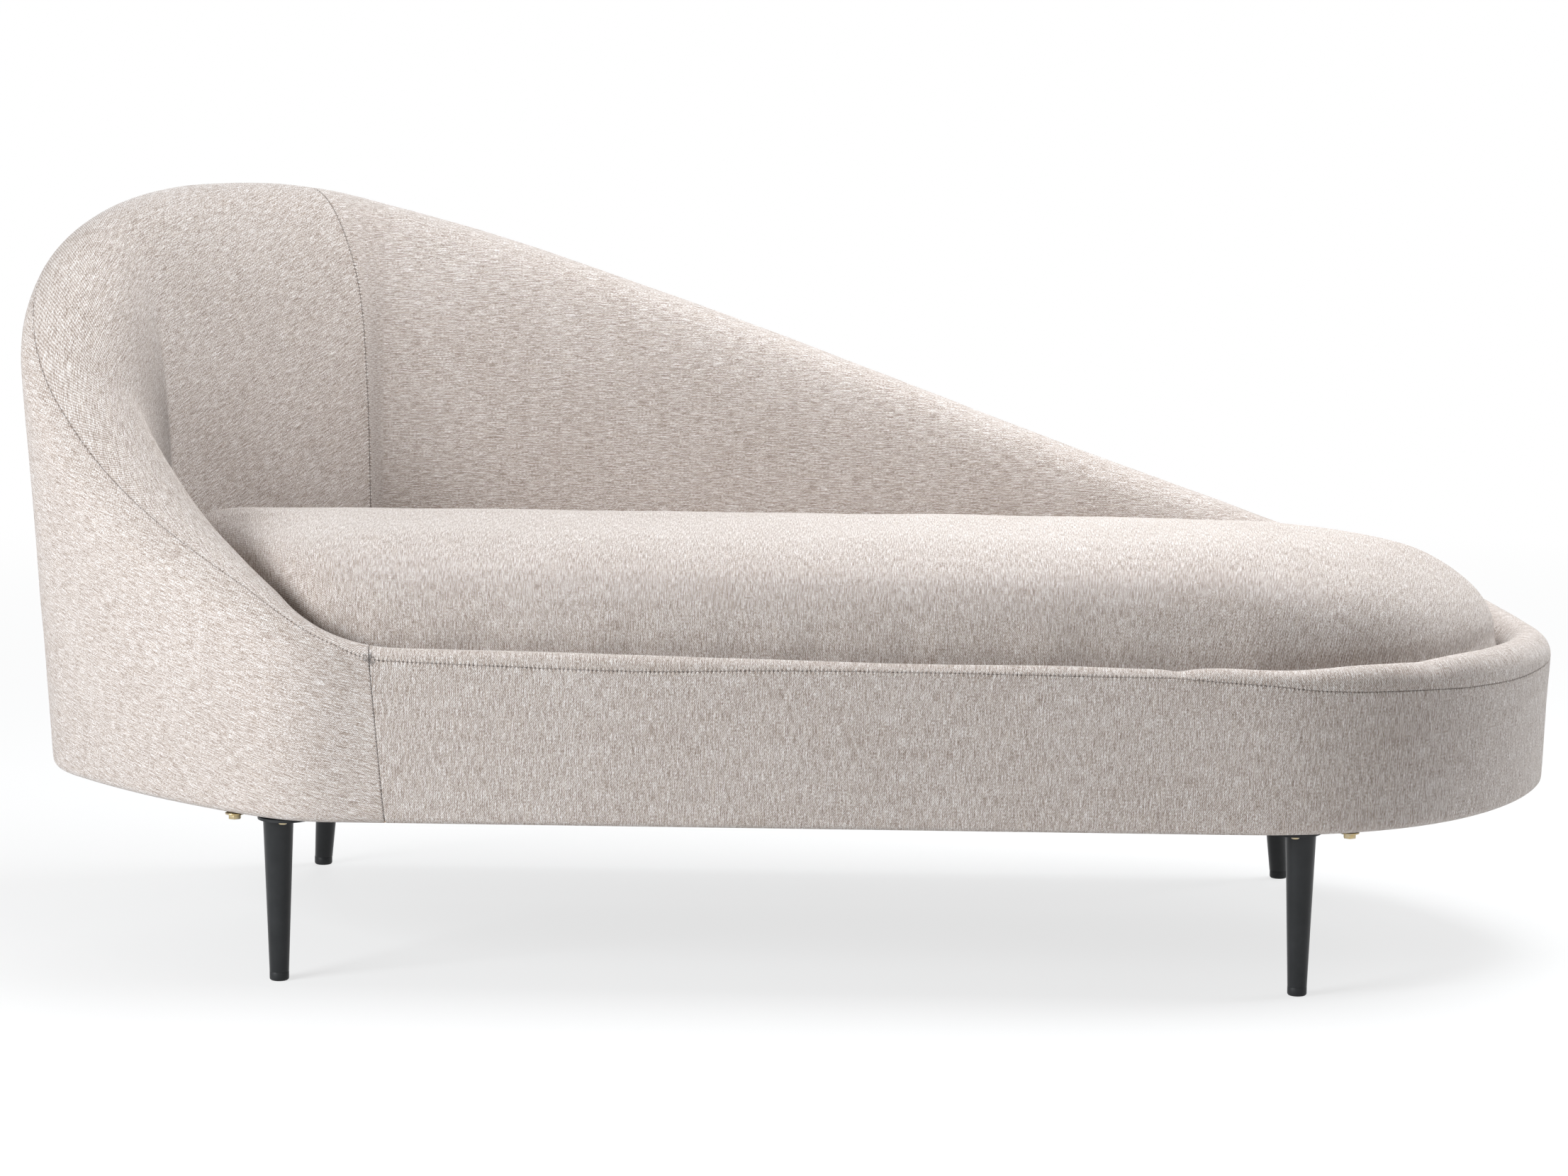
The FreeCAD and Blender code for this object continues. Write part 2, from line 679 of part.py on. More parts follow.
def rail_wire(section):
    """Return the section of the top rail between the two skins."""
    top = section.frame_top()
    near = WADDING + SKIN_THICKNESS + FIT_GAP
    far = WADDING + section.frame_depth - SKIN_THICKNESS - FIT_GAP
    return panel_wire(section, near, far, top - TOP_RAIL_HEIGHT, top)


def standing_block(distance, near, far, top):
    """Return an upright block square to the wall, standing on the former."""
    section = WallSection(distance, high_frame_depth(distance))
    face = Part.Face(panel_wire(section, near, far, FORMER_RISE, top(section)))
    along = vector(section.out_y, -section.out_x, 0)
    face.translate(along * (-POST_WIDTH / 2))
    return face.extrude(along * POST_WIDTH)


def post(distance, rail):
    """Return one post between the skins, cut off under the top rail."""
    depth = min(high_frame_depth(distance + side * POST_WIDTH / 2) for side in (-1, 1))
    near = WADDING + SKIN_THICKNESS + POST_EASE
    far = WADDING + depth - SKIN_THICKNESS - FIT_GAP
    pieces = standing_block(distance, near, far, WallSection.frame_top).cut(rail).Solids
    return min(pieces, key=lambda piece: piece.CenterOfMass.z)


def rim_block(distance):
    """Return a glue block behind the low board, level with the cross rails."""
    near = WADDING + BOARD_THICKNESS + POST_EASE
    top = RAIL_TOP - UNDERSIDE_HEIGHT
    return standing_block(distance, near, near + RIM_BLOCK_DEPTH, lambda section: top)


def cross_rail(place):
    """Return one beam that stands on the formers and carries the seat block."""
    front = WallSection(OUTLINE.on_front(place), BOARD_THICKNESS)
    back = WallSection(OUTLINE.on_back(place), FRAME_DEPTH_HIGH)
    front_depth = WADDING + front.frame_depth + FIT_GAP
    back_depth = WADDING + back.frame_depth + FIT_GAP
    front_y = front.point(front.outside(FORMER_RISE, front_depth), FORMER_RISE).y
    back_y = back.point(back.outside(FORMER_RISE, back_depth), FORMER_RISE).y
    half = CROSS_RAIL_WIDTH / 2
    return box((place - half, front_y, FORMER_TOP), (place + half, back_y, RAIL_TOP))


def base_frame():
    """Return the flat formers, the cross rails and the glue blocks."""
    half = BODY_DEPTH / 2
    inner = WADDING + FORMER_WIDTH
    rim_places = [OUTLINE.on_front(place) for place in middles(CROSS_RAIL_PLACES)]
    rim_places += spread(OUTLINE.foot_start + RIM_BLOCK_END_SPACE,
                         OUTLINE.front_start - RIM_BLOCK_END_SPACE, RIM_BLOCK_COUNT)
    return {
        "base_former_head": plan_ring_part(OUTLINE.head_start, OUTLINE.back_start, WADDING,
                                           inner, FORMER_BOTTOM, FORMER_THICKNESS),
        "base_former_foot": plan_ring_part(OUTLINE.foot_start, OUTLINE.front_start, WADDING,
                                           inner, FORMER_BOTTOM, FORMER_THICKNESS),
        "base_former_front": box((OUTLINE.head_x, WADDING - half, FORMER_BOTTOM),
                                 (OUTLINE.foot_x, inner - half, FORMER_TOP)),
        "base_former_back": box((OUTLINE.head_x, half - inner, FORMER_BOTTOM),
                                (OUTLINE.foot_x, half - WADDING, FORMER_TOP)),
        "cross_rails": [cross_rail(place) for place in CROSS_RAIL_PLACES],
        "rim_blocks": [rim_block(distance) for distance in rim_places],
    }


def board(sections, near, far):
    """Return an upright board between two insets, from the former to the frame top."""
    return loft([panel_wire(row, near(row), far(row), FORMER_RISE, row.frame_top())
                 for row in sections])


def wall_frame():
    """Return the skins, boards, rails and posts inside the wall."""
    nodes = {}
    for name, sections in (("head", head_stations()), ("back", back_stations())):
        nodes[name + "_outer_skin"] = board(
            sections, lambda row: WADDING, lambda row: WADDING + SKIN_THICKNESS)
        nodes[name + "_inner_skin"] = board(
            sections, lambda row: WADDING + row.frame_depth - SKIN_THICKNESS,
            lambda row: WADDING + row.frame_depth)
        nodes[name + "_top_rail"] = loft([rail_wire(row) for row in sections])
    for name, sections in (("foot_board", foot_stations()), ("front_board", front_stations())):
        nodes[name] = board(sections, lambda row: WADDING, lambda row: WADDING + BOARD_THICKNESS)
    head_places = spread(OUTLINE.head_start + HEAD_POST_END_SPACE,
                         OUTLINE.back_start - HEAD_POST_END_SPACE, HEAD_POST_COUNT)
    back_places = spread(OUTLINE.back_start + BACK_POST_HEAD_SPACE,
                         OUTLINE.foot_start - BACK_POST_FOOT_SPACE, BACK_POST_COUNT)
    nodes["head_posts"] = [post(place, nodes["head_top_rail"]) for place in head_places]
    nodes["back_posts"] = [post(place, nodes["back_top_rail"]) for place in back_places]
    return nodes


def upholstery():
    """Return the padded panels of the wall and the cloth under it."""
    head = head_stations()
    back = back_stations()
    rim = foot_stations() + front_stations()[1:]
    panels = {}
    for name, sections in (("head", head), ("back", back), ("front", rim)):
        panels[name + "_outer_panel"] = loft([outer_panel_wire(row) for row in sections])
        panels[name + "_inner_panel"] = loft([inner_panel_wire(row) for row in sections])
    edges = OUTLINE.edges(0.0, OUTLINE.length, DUST_COVER_INSET, 0.0)
    cloth = Part.Wire(Part.__sortEdges__(edges))
    panels["dust_cover"] = sheet(cloth, DUST_COVER_BOTTOM, DUST_COVER_THICKNESS)
    return panels


def seat_block():
    """Return the seat frame, its webbing, its cloth and the cushion."""
    far = SEAT_FRAME_INSET + SEAT_RAIL_WIDTH
    rails = {
        "seat_frame_head_bow": SEAT.head,
        "seat_frame_foot_bow": SEAT.foot,
        "seat_frame_front_rail": [SEAT.foot[-1], SEAT.head[0]],
        "seat_frame_back_rail": [SEAT.head[-1], SEAT.foot[0]],
    }
    nodes = {}
    for name, places in rails.items():
        nodes[name] = SEAT.rail(places, SEAT_FRAME_INSET, far, RAIL_TOP, SEAT_FRAME_TOP)
    nodes["seat_frame_slats"] = strips(middles(CROSS_RAIL_PLACES), SEAT_SLAT_WIDTH, False,
                                       far + FIT_GAP, RAIL_TOP, SEAT_FRAME_TOP)
    middle = SEAT_FRAME_TOP + WEBBING_THICKNESS
    across = spread(OUTLINE.head_x - WEBBING_HEAD_REACH, OUTLINE.foot_x + WEBBING_FOOT_REACH,
                    WEBBING_COUNT)
    along = spread(LONG_WEBBING_FRONT_SPACE - BODY_DEPTH / 2,
                   BODY_DEPTH / 2 - LONG_WEBBING_BACK_SPACE, LONG_WEBBING_COUNT)
    nodes["seat_webbing_across"] = strips(across, WEBBING_WIDTH, False, WEBBING_INSET,
                                          SEAT_FRAME_TOP, middle)
    nodes["seat_webbing_along"] = strips(along, WEBBING_WIDTH, True, WEBBING_INSET, middle,
                                         WEBBING_TOP)
    nodes["seat_platform_cloth"] = SEAT.prism(SEAT_FRAME_INSET, WEBBING_TOP, CUSHION_BOTTOM)
    nodes["seat_cushion"] = cushion()
    return nodes


def supports():
    """Return the legs, their glides and their plates."""
    legs = FRONT_LEGS + REAR_LEGS
    return {
        "legs_front": [leg.shaft() for leg in FRONT_LEGS],
        "legs_rear": [leg.shaft() for leg in REAR_LEGS],
        "leg_glides": [leg.glide() for leg in legs],
        "leg_plates": [leg.plate() for leg in legs],
    }


def main():
    """Build every piece, move the whole to its origin and write one file per piece."""
    nodes = {}
    for group in (base_frame(), wall_frame(), upholstery(), seat_block(), supports()):
        nodes.update(group)
    whole = FreeCAD.BoundBox()
    for name, made in nodes.items():
        if isinstance(made, list):
            nodes[name] = Part.makeCompound(made)
        whole.add(nodes[name].optimalBoundingBox(False, False))
    shift = vector(-whole.Center.x, -whole.Center.y, 0)
    print("moved by", round(shift.x, 3), round(shift.y, 3), "size", round(whole.XLength, 2),
          round(whole.YLength, 2), round(whole.ZMax, 2))
    os.makedirs("parts", exist_ok=True)
    for name, shape in nodes.items():
        shape.translate(shift)
        shape.exportStep("parts/" + name + ".step")


if __name__ == "__main__":
    main()
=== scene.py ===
"""Looks of the upholstered chaise longue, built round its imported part.

The padded wall panels, the seat cushion, the cloths and the webbing stand for the plain soft solids
of the part. The timber, boards, legs and plates of the part stay and get their finishes. Stitches,
screws, bolts and staples are added.

Lengths are metres and angles are degrees, unless a name or a docstring says otherwise. The wall is
drawn about the middle of the underside, as in the part, and is then moved with it.
"""

import json
import logging
import math
from contextlib import contextmanager
from dataclasses import dataclass
from enum import Enum
from typing import Callable, Iterator, NamedTuple, Optional, Sequence, Union

import bpy
import numpy as np
from mathutils import Matrix, Vector, noise

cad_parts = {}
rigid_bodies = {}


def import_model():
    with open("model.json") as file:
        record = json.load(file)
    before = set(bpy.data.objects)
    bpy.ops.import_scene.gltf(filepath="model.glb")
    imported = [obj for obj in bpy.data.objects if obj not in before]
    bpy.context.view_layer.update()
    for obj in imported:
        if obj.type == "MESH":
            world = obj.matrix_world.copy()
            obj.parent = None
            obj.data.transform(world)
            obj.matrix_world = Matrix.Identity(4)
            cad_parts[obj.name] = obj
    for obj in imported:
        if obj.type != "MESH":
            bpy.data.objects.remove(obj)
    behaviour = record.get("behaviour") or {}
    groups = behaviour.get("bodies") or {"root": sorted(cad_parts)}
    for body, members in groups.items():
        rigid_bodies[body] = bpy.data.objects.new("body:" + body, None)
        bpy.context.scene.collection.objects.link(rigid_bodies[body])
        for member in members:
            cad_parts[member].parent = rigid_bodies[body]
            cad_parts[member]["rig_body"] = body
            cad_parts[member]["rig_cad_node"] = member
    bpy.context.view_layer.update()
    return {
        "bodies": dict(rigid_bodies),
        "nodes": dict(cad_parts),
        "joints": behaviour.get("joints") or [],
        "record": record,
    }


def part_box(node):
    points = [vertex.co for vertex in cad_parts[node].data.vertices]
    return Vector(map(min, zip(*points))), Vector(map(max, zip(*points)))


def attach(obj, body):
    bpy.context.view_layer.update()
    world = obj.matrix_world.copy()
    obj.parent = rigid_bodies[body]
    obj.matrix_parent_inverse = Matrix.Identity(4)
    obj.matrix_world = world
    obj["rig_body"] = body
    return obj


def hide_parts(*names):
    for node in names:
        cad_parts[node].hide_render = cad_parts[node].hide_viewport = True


LOG = logging.getLogger("chaise")
CLOTH_MAP = "cloth"
SEAM_MAP = "seam"
ISLAND_REACH = 0.08


class Cut(Enum):
    """How a piece of the fabric is laid: the angle from upright to its streaks."""

    UPRIGHT = 0.0
    LEVEL = 90.0
    RISING = 104.0
    WRAPPED = 112.0


class Side(Enum):
    """Which skin of the wall a panel is."""

    OUTER = "outer"
    INNER = "inner"


class Signal:
    """A socket of a material that can be added and multiplied."""

    def __init__(self, maker: "NodeMaker", socket: bpy.types.NodeSocket) -> None:
        """Keep the socket and the maker of its nodes."""
        self.maker = maker
        self.socket = socket

    def __add__(self, other: "Number") -> "Signal":
        """Return the sum."""
        return self.maker.math("ADD", self, other)

    def __mul__(self, other: "Number") -> "Signal":
        """Return the product."""
        return self.maker.math("MULTIPLY", self, other)


Number = Union[Signal, float]
Colour = tuple[float, float, float, float]


class NodeMaker:
    """Adds and links the nodes of one material."""

    def __init__(self, name: str) -> None:
        """Start an empty material of the given name."""
        self.material = bpy.data.materials.new(name)
        self.material.use_nodes = True
        self.tree = self.material.node_tree
        self.tree.nodes.clear()

    def node(self, kind: str, settings: Optional[dict] = None,
             inputs: Optional[dict] = None) -> bpy.types.Node:
        """Add one node.

        Args:
            kind: The node's type, without the word ShaderNode.
            settings: Its properties, and "stops" for a ramp, which are set first.
            inputs: Values or signals for its sockets, by name or number.

        Returns:
            The new node.
        """
        made = self.tree.nodes.new("ShaderNode" + kind)
        for key, value in (settings or {}).items():
            if key == "stops":
                self.set_stops(made.color_ramp, value)
            else:
                setattr(made, key, value)
        for key, value in (inputs or {}).items():
            self.feed(made.inputs[key], value)
        return made

    @staticmethod
    def set_stops(ramp: bpy.types.ColorRamp, stops: Sequence[tuple[float, Colour]]) -> None:
        """Give a ramp its places and colours."""
        for index, (place, colour) in enumerate(stops):
            stop = ramp.elements[index] if index < 2 else ramp.elements.new(place)
            stop.position = place
            stop.color = colour

    def feed(self, socket: bpy.types.NodeSocket, value: Union[Signal, float, Sequence]) -> None:
        """Link a signal to a socket, or set the socket's own value."""
        if isinstance(value, Signal):
            self.tree.links.new(value.socket, socket)
        else:
            socket.default_value = value

    def signal(self, made: bpy.types.Node, output: Union[str, int] = 0) -> Signal:
        """Return one output of a node."""
        return Signal(self, made.outputs[output])

    def math(self, operation: str, *values: Number) -> Signal:
        """Return the result of a Math node on up to three values."""
        return self.signal(self.node("Math", {"operation": operation}, dict(enumerate(values))))

    def noise(self, vector: Signal, scale: float, detail: float = 2.0,
              roughness: float = 0.5, distortion: float = 0.0) -> Signal:
        """Return the value of a noise texture."""
        made = self.node("TexNoise", {}, {"Vector": vector, "Scale": scale, "Detail": detail,
                                          "Roughness": roughness, "Distortion": distortion})
        return self.signal(made, "Fac")

    def stretched(self, vector: Signal, scale: Sequence[float]) -> Signal:
        """Return coordinates scaled on each axis."""
        made = self.node("Mapping", {"vector_type": "POINT"}, {"Vector": vector, "Scale": scale})
        return self.signal(made)

    def streaks(self, vector: Signal, scale: Sequence[float], detail: float = 2.0,
                roughness: float = 0.5, distortion: float = 0.0) -> Signal:
        """Return a noise whose grains are longer on one axis than on another."""
        return self.noise(self.stretched(vector, scale), 1.0, detail, roughness, distortion)

    def wave(self, turning: Signal) -> Signal:
        """Return a sine that runs between 0 and 1."""
        return self.math("SINE", turning) * 0.5 + 0.5

    def ramp(self, value: Signal, stops: Sequence[tuple[float, Colour]]) -> Signal:
        """Return the colour of a ramp."""
        return self.signal(self.node("ValToRGB", {"stops": stops}, {"Fac": value}))

    def spread(self, value: Signal, low: float, high: float, to_low: float = 0.0,
               to_high: float = 1.0) -> Signal:
        """Return a value carried from one range to another and kept inside it."""
        made = self.node("MapRange", {"clamp": True}, {"Value": value, "From Min": low,
                                                       "From Max": high, "To Min": to_low,
                                                       "To Max": to_high})
        return self.signal(made)

    def blend(self, mode: str, factor: Number, first: Union[Signal, Colour],
              second: Union[Signal, Colour]) -> Signal:
        """Return two colours mixed in the given mode."""
        made = self.node("Mix", {"data_type": "RGBA", "blend_type": mode},
                         {0: factor, 6: first, 7: second})
        return self.signal(made, 2)

    def shaded(self, strength: float, colour: Union[Signal, Colour], value: Signal,
               dark: tuple[float, float], full: float) -> Signal:
        """Return a colour darkened where a value is low.

        Args:
            strength: How much of the shade is taken.
            colour: The colour of the fully lit places.
            value: What decides the shade.
            dark: The value at and below which the shade is darkest, and how light it is there.
            full: The value from which the colour is kept.

        Returns:
            The shaded colour.
        """
        shade = self.ramp(value, [(dark[0], grey(dark[1])), (full, grey(1.0))])
        return self.blend("MULTIPLY", strength, colour, shade)

    def place(self) -> Signal:
        """Return the object coordinates."""
        return self.signal(self.node("TexCoord"), "Object")

    def map_place(self, name: str) -> Signal:
        """Return the coordinates of a named UV map."""
        return self.signal(self.node("UVMap", {"uv_map": name}))

    def parts(self, vector: Signal) -> list[Signal]:
        """Return the three numbers of a vector."""
        made = self.node("SeparateXYZ", {}, {0: vector})
        return [self.signal(made, index) for index in range(3)]

    def bump(self, height: Signal, distance: float, strength: float = 1.0) -> Signal:
        """Return the normal of a height."""
        made = self.node("Bump", {}, {"Height": height, "Distance": distance,
                                      "Strength": strength})
        return self.signal(made, "Normal")

    def surface(self, **inputs: Union[Signal, float, Sequence]) -> bpy.types.Material:
        """Finish the material with one principled shader.

        Args:
            inputs: Values or signals by socket name, with _ for a space.

        Returns:
            The finished material.
        """
        named = {key.replace("_", " "): value for key, value in inputs.items()}
        shader = self.node("BsdfPrincipled", {}, named)
        self.node("OutputMaterial", {}, {"Surface": self.signal(shader)})
        return self.material


def grey(value: float) -> Colour:
    """Return a neutral colour."""
    return (value, value, value, 1.0)


@dataclass(frozen=True)
class HeatherCloth:
    """The upholstery fabric: a soft twill of greige yarns with light and dark slubs."""

    name: str = "heather_upholstery"
    dark: Colour = (0.218, 0.166, 0.134, 1.0)
    mid: Colour = (0.470, 0.403, 0.364, 1.0)
    light: Colour = (0.79, 0.765, 0.755, 1.0)
    twill_pitch: float = 0.0022
    slub_width: float = 0.0009
    slub_length: float = 0.013
    fleck_scale: tuple[float, float, float] = (820.0, 430.0, 1.0)
    thread_scale: tuple[float, float, float] = (760.0, 45.0, 1.0)
    warm_scale: tuple[float, float, float] = (420.0, 30.0, 1.0)
    band_scale: tuple[float, float, float] = (150.0, 11.0, 1.0)
    cloud_scale: float = 9.0
    wander_scale: float = 260.0
    warm: Colour = (0.56, 0.47, 0.39, 1.0)
    stitch_pitch: float = 0.0045
    stitch_reach: float = 0.004

    def material(self) -> bpy.types.Material:
        """Return the fabric as a material."""
        make = NodeMaker(self.name)
        cloth = make.map_place(CLOTH_MAP)
        across, along, _ = make.parts(cloth)
        slubs = make.streaks(cloth, (1 / self.slub_width, 1 / self.slub_length, 1), 3.0, 0.62)
        bands = make.streaks(cloth, self.band_scale, 2.0, 0.55)
        clouds = make.noise(cloth, self.cloud_scale, 3.0, 0.55)
        flecks = make.streaks(cloth, self.fleck_scale, 3.0, 0.65)
        wander = make.noise(cloth, self.wander_scale, 1.0)
        turns = 2 * math.pi / self.twill_pitch
        twill = make.wave((across + along * 0.8) * turns + wander * 5.0)
        yarns = make.wave(across * turns + wander * 2.0)
        threads = make.streaks(cloth, self.thread_scale, 3.0, 0.7)
        tone = (slubs * 0.46 + threads * 0.28 + bands * 0.04 + clouds * 0.04 + flecks * 0.54
                + twill * 0.10)
        stops = [(0.61, self.dark), (0.735, self.mid), (0.86, self.light)]
        colour = make.ramp(tone, stops)
        warmth = make.spread(make.streaks(cloth, self.warm_scale), 0.52, 0.75, 0.0, 0.22)
        colour = make.blend("MIX", warmth, colour, self.warm)
        seam, run, _ = make.parts(make.map_place(SEAM_MAP))
        near = make.spread(seam, 0.0, self.stitch_reach, 1.0, 0.0)
        pull = make.math("SINE", run * (2 * math.pi / self.stitch_pitch)) * near
        height = twill * 0.45 + slubs * 0.9 + flecks * 0.35 + yarns * 0.25 + pull * 1.6
        return make.surface(Base_Color=colour, Roughness=make.spread(slubs, 0.3, 0.7, 0.93, 0.8),
                            Normal=make.bump(height, 0.00045, 0.9), Sheen_Weight=0.22,
                            Sheen_Roughness=0.45, Specular_IOR_Level=0.25)


@dataclass(frozen=True)
class Nonwoven:
    """Thin pressed cloth, as under the seat or over the webbing."""

    name: str
    colour: Colour
    dots: float = 420.0

    def material(self) -> bpy.types.Material:
        """Return the cloth as a material."""
        make = NodeMaker(self.name)
        place = make.place()
        fibres = make.streaks(place, (self.dots, self.dots, 90.0), 4.0, 0.7, 0.6)
        dots = make.node("TexVoronoi", {"feature": "F1"}, {"Vector": place, "Scale": self.dots})
        press = make.spread(make.signal(dots, "Distance"), 0.15, 0.5)
        colour = make.shaded(0.7, self.colour, fibres, (0.25, 0.35), 0.75)
        return make.surface(Base_Color=colour, Roughness=make.spread(fibres, 0.3, 0.7, 0.95, 0.8),
                            Normal=make.bump(press + fibres, 0.0002))


@dataclass(frozen=True)
class WovenStrap:
    """Jute webbing with a ribbed weave and two coloured lines."""

    name: str = "webbing_strap"
    yarn: Colour = (0.50, 0.37, 0.22, 1.0)
    line: Colour = (0.10, 0.10, 0.11, 1.0)
    rib: float = 0.0016
    line_place: float = 0.017
    line_width: float = 0.0018
    fuzz_scale: float = 700.0

    def material(self) -> bpy.types.Material:
        """Return the strap as a material."""
        make = NodeMaker(self.name)
        cloth = make.map_place(CLOTH_MAP)
        across, along, _ = make.parts(cloth)
        turns = 2 * math.pi / self.rib
        weave = make.math("SINE", across * turns) * make.math("SINE", along * turns)
        fuzz = make.noise(cloth, self.fuzz_scale, 3.0, 0.6)
        lines = make.math("COMPARE", make.math("ABSOLUTE", across), self.line_place,
                          self.line_width)
        colour = make.blend("MIX", lines, self.yarn, self.line)
        colour = make.shaded(0.6, colour, fuzz + weave * 0.15, (0.2, 0.4), 0.8)
        return make.surface(Base_Color=colour, Roughness=0.88,
                            Normal=make.bump(weave * 0.5 + fuzz, 0.0004))


@dataclass(frozen=True)
class Timber:
    """Planed softwood with growth lines along one axis."""

    name: str
    early: Colour = (0.60, 0.40, 0.22, 1.0)
    late: Colour = (0.40, 0.23, 0.11, 1.0)
    stretch: tuple[float, float, float] = (3.0, 38.0, 38.0)
    rings: float = 34.0

    def material(self) -> bpy.types.Material:
        """Return the timber as a material."""
        make = NodeMaker(self.name)
        place = make.place()
        run = make.stretched(place, self.stretch)
        lines = make.noise(run, 1.0, 4.0, 0.55, 1.2)
        rings = make.wave(lines * self.rings)
        pores = make.streaks(run, (9.0, 9.0, 9.0))
        colour = make.ramp(rings * 0.7 + pores * 0.3, [(0.2, self.early), (0.9, self.late)])
        return make.surface(Base_Color=colour, Roughness=make.spread(pores, 0.3, 0.7, 0.7, 0.55),
                            Normal=make.bump(rings * 0.4 + pores, 0.0002))


@dataclass(frozen=True)
class Plywood:
    """Beech plywood with its layers showing on the cut edges."""

    name: str
    face: Colour = (0.66, 0.46, 0.28, 1.0)
    core: Colour = (0.42, 0.27, 0.15, 1.0)
    layer: float = 0.0018

    def material(self) -> bpy.types.Material:
        """Return the plywood as a material."""
        make = NodeMaker(self.name)
        place = make.place()
        _, _, height = make.parts(place)
        figure = make.streaks(place, (5.0, 46.0, 5.0), 4.0, 0.6, 0.8)
        layers = make.wave(height * (math.pi / self.layer))
        _, _, upward = make.parts(make.signal(make.node("NewGeometry"), "Normal"))
        flat = make.spread(make.math("ABSOLUTE", upward), 0.5, 0.9)
        edge = make.blend("MIX", layers, self.face, self.core)
        colour = make.shaded(0.5, make.blend("MIX", flat, edge, self.face), figure,
                             (0.3, 0.45), 0.7)
        return make.surface(Base_Color=colour, Roughness=make.spread(figure, 0.3, 0.7, 0.72, 0.55),
                            Normal=make.bump(figure + layers * 0.3, 0.00025))


@dataclass(frozen=True)
class Fibreboard:
    """Thin pressed board with a mottled brown face."""

    name: str = "pressed_board"
    colour: Colour = (0.36, 0.23, 0.13, 1.0)

    def material(self) -> bpy.types.Material:
        """Return the board as a material."""
        make = NodeMaker(self.name)
        place = make.place()
        fibres = make.noise(place, 320.0, 4.0, 0.7, 0.5)
        cloud = make.noise(place, 14.0, 2.0)
        colour = make.shaded(0.8, self.colour, fibres * 0.7 + cloud * 0.3, (0.3, 0.5), 0.7)
        return make.surface(Base_Color=colour, Roughness=make.spread(fibres, 0.3, 0.7, 0.7, 0.5),
                            Normal=make.bump(fibres, 0.00015))


@dataclass(frozen=True)
class SatinBlack:
    """Black lacquer or moulded plastic with a soft shine."""

    name: str
    colour: Colour = (0.011, 0.012, 0.013, 1.0)
    worn: Colour = (0.022, 0.023, 0.025, 1.0)
    smooth: float = 0.30
    rough: float = 0.42

    def material(self) -> bpy.types.Material:
        """Return the finish as a material."""
        make = NodeMaker(self.name)
        place = make.place()
        grain = make.streaks(place, (260.0, 260.0, 24.0), 3.0)
        rub = make.noise(place, 24.0, 3.0, 0.6)
        tint = make.ramp(rub, [(0.3, self.colour), (0.75, self.worn)])
        return make.surface(Base_Color=tint, Normal=make.bump(grain, 0.00006),
                            Roughness=make.spread(grain + rub, 0.6, 1.4, self.smooth, self.rough),
                            Specular_IOR_Level=0.28)


@dataclass(frozen=True)
class PlatedSteel:
    """Zinc plated steel with a yellow or silver cast."""

    name: str
    colour: Colour = (0.52, 0.40, 0.19, 1.0)
    second: Colour = (0.44, 0.40, 0.32, 1.0)

    def material(self) -> bpy.types.Material:
        """Return the plating as a material."""
        make = NodeMaker(self.name)
        place = make.place()
        cloud = make.noise(place, 130.0, 3.0, 0.6, 0.8)
        scratch = make.streaks(place, (2200.0, 240.0, 600.0))
        colour = make.ramp(cloud, [(0.35, self.colour), (0.7, self.second)])
        return make.surface(Base_Color=colour, Metallic=1.0, Normal=make.bump(scratch, 0.00003),
                            Roughness=make.spread(cloud + scratch, 0.6, 1.4, 0.24, 0.42))


class PlanPoint(NamedTuple):
    """Points of the plan with the outward direction at each, as arrays."""

    x: np.ndarray
    y: np.ndarray
    out_x: np.ndarray
    out_y: np.ndarray


@dataclass(frozen=True)
class EndCurve:
    """One rounded end of the plan: corner, flank and nose arcs, then the same mirrored."""

    corner_radius: float
    corner_turn: float
    flank_turn: float
    nose_radius: float

    def flank_radius(self, half: float) -> float:
        """Return the radius of the flat arc between the corner and the nose."""
        first = math.radians(self.corner_turn)
        second = math.radians(self.corner_turn + self.flank_turn)
        left = (half - self.corner_radius * (1 - math.cos(first))
                - self.nose_radius * math.cos(second))
        return left / (math.cos(first) - math.cos(second))

    def reach(self, half: float) -> float:
        """Return how far the end stands past the straight sides."""
        first = math.sin(math.radians(self.corner_turn))
        second = math.sin(math.radians(self.corner_turn + self.flank_turn))
        return (self.corner_radius * first + self.flank_radius(half) * (second - first)
                + self.nose_radius * (1 - second))

    def arcs(self, half: float) -> list[tuple[float, float]]:
        """Return the six arcs as pairs of radius and turn."""
        nose_turn = 90.0 - self.corner_turn - self.flank_turn
        made = [(self.corner_radius, self.corner_turn),
                (self.flank_radius(half), self.flank_turn), (self.nose_radius, nose_turn)]
        return made + made[::-1]


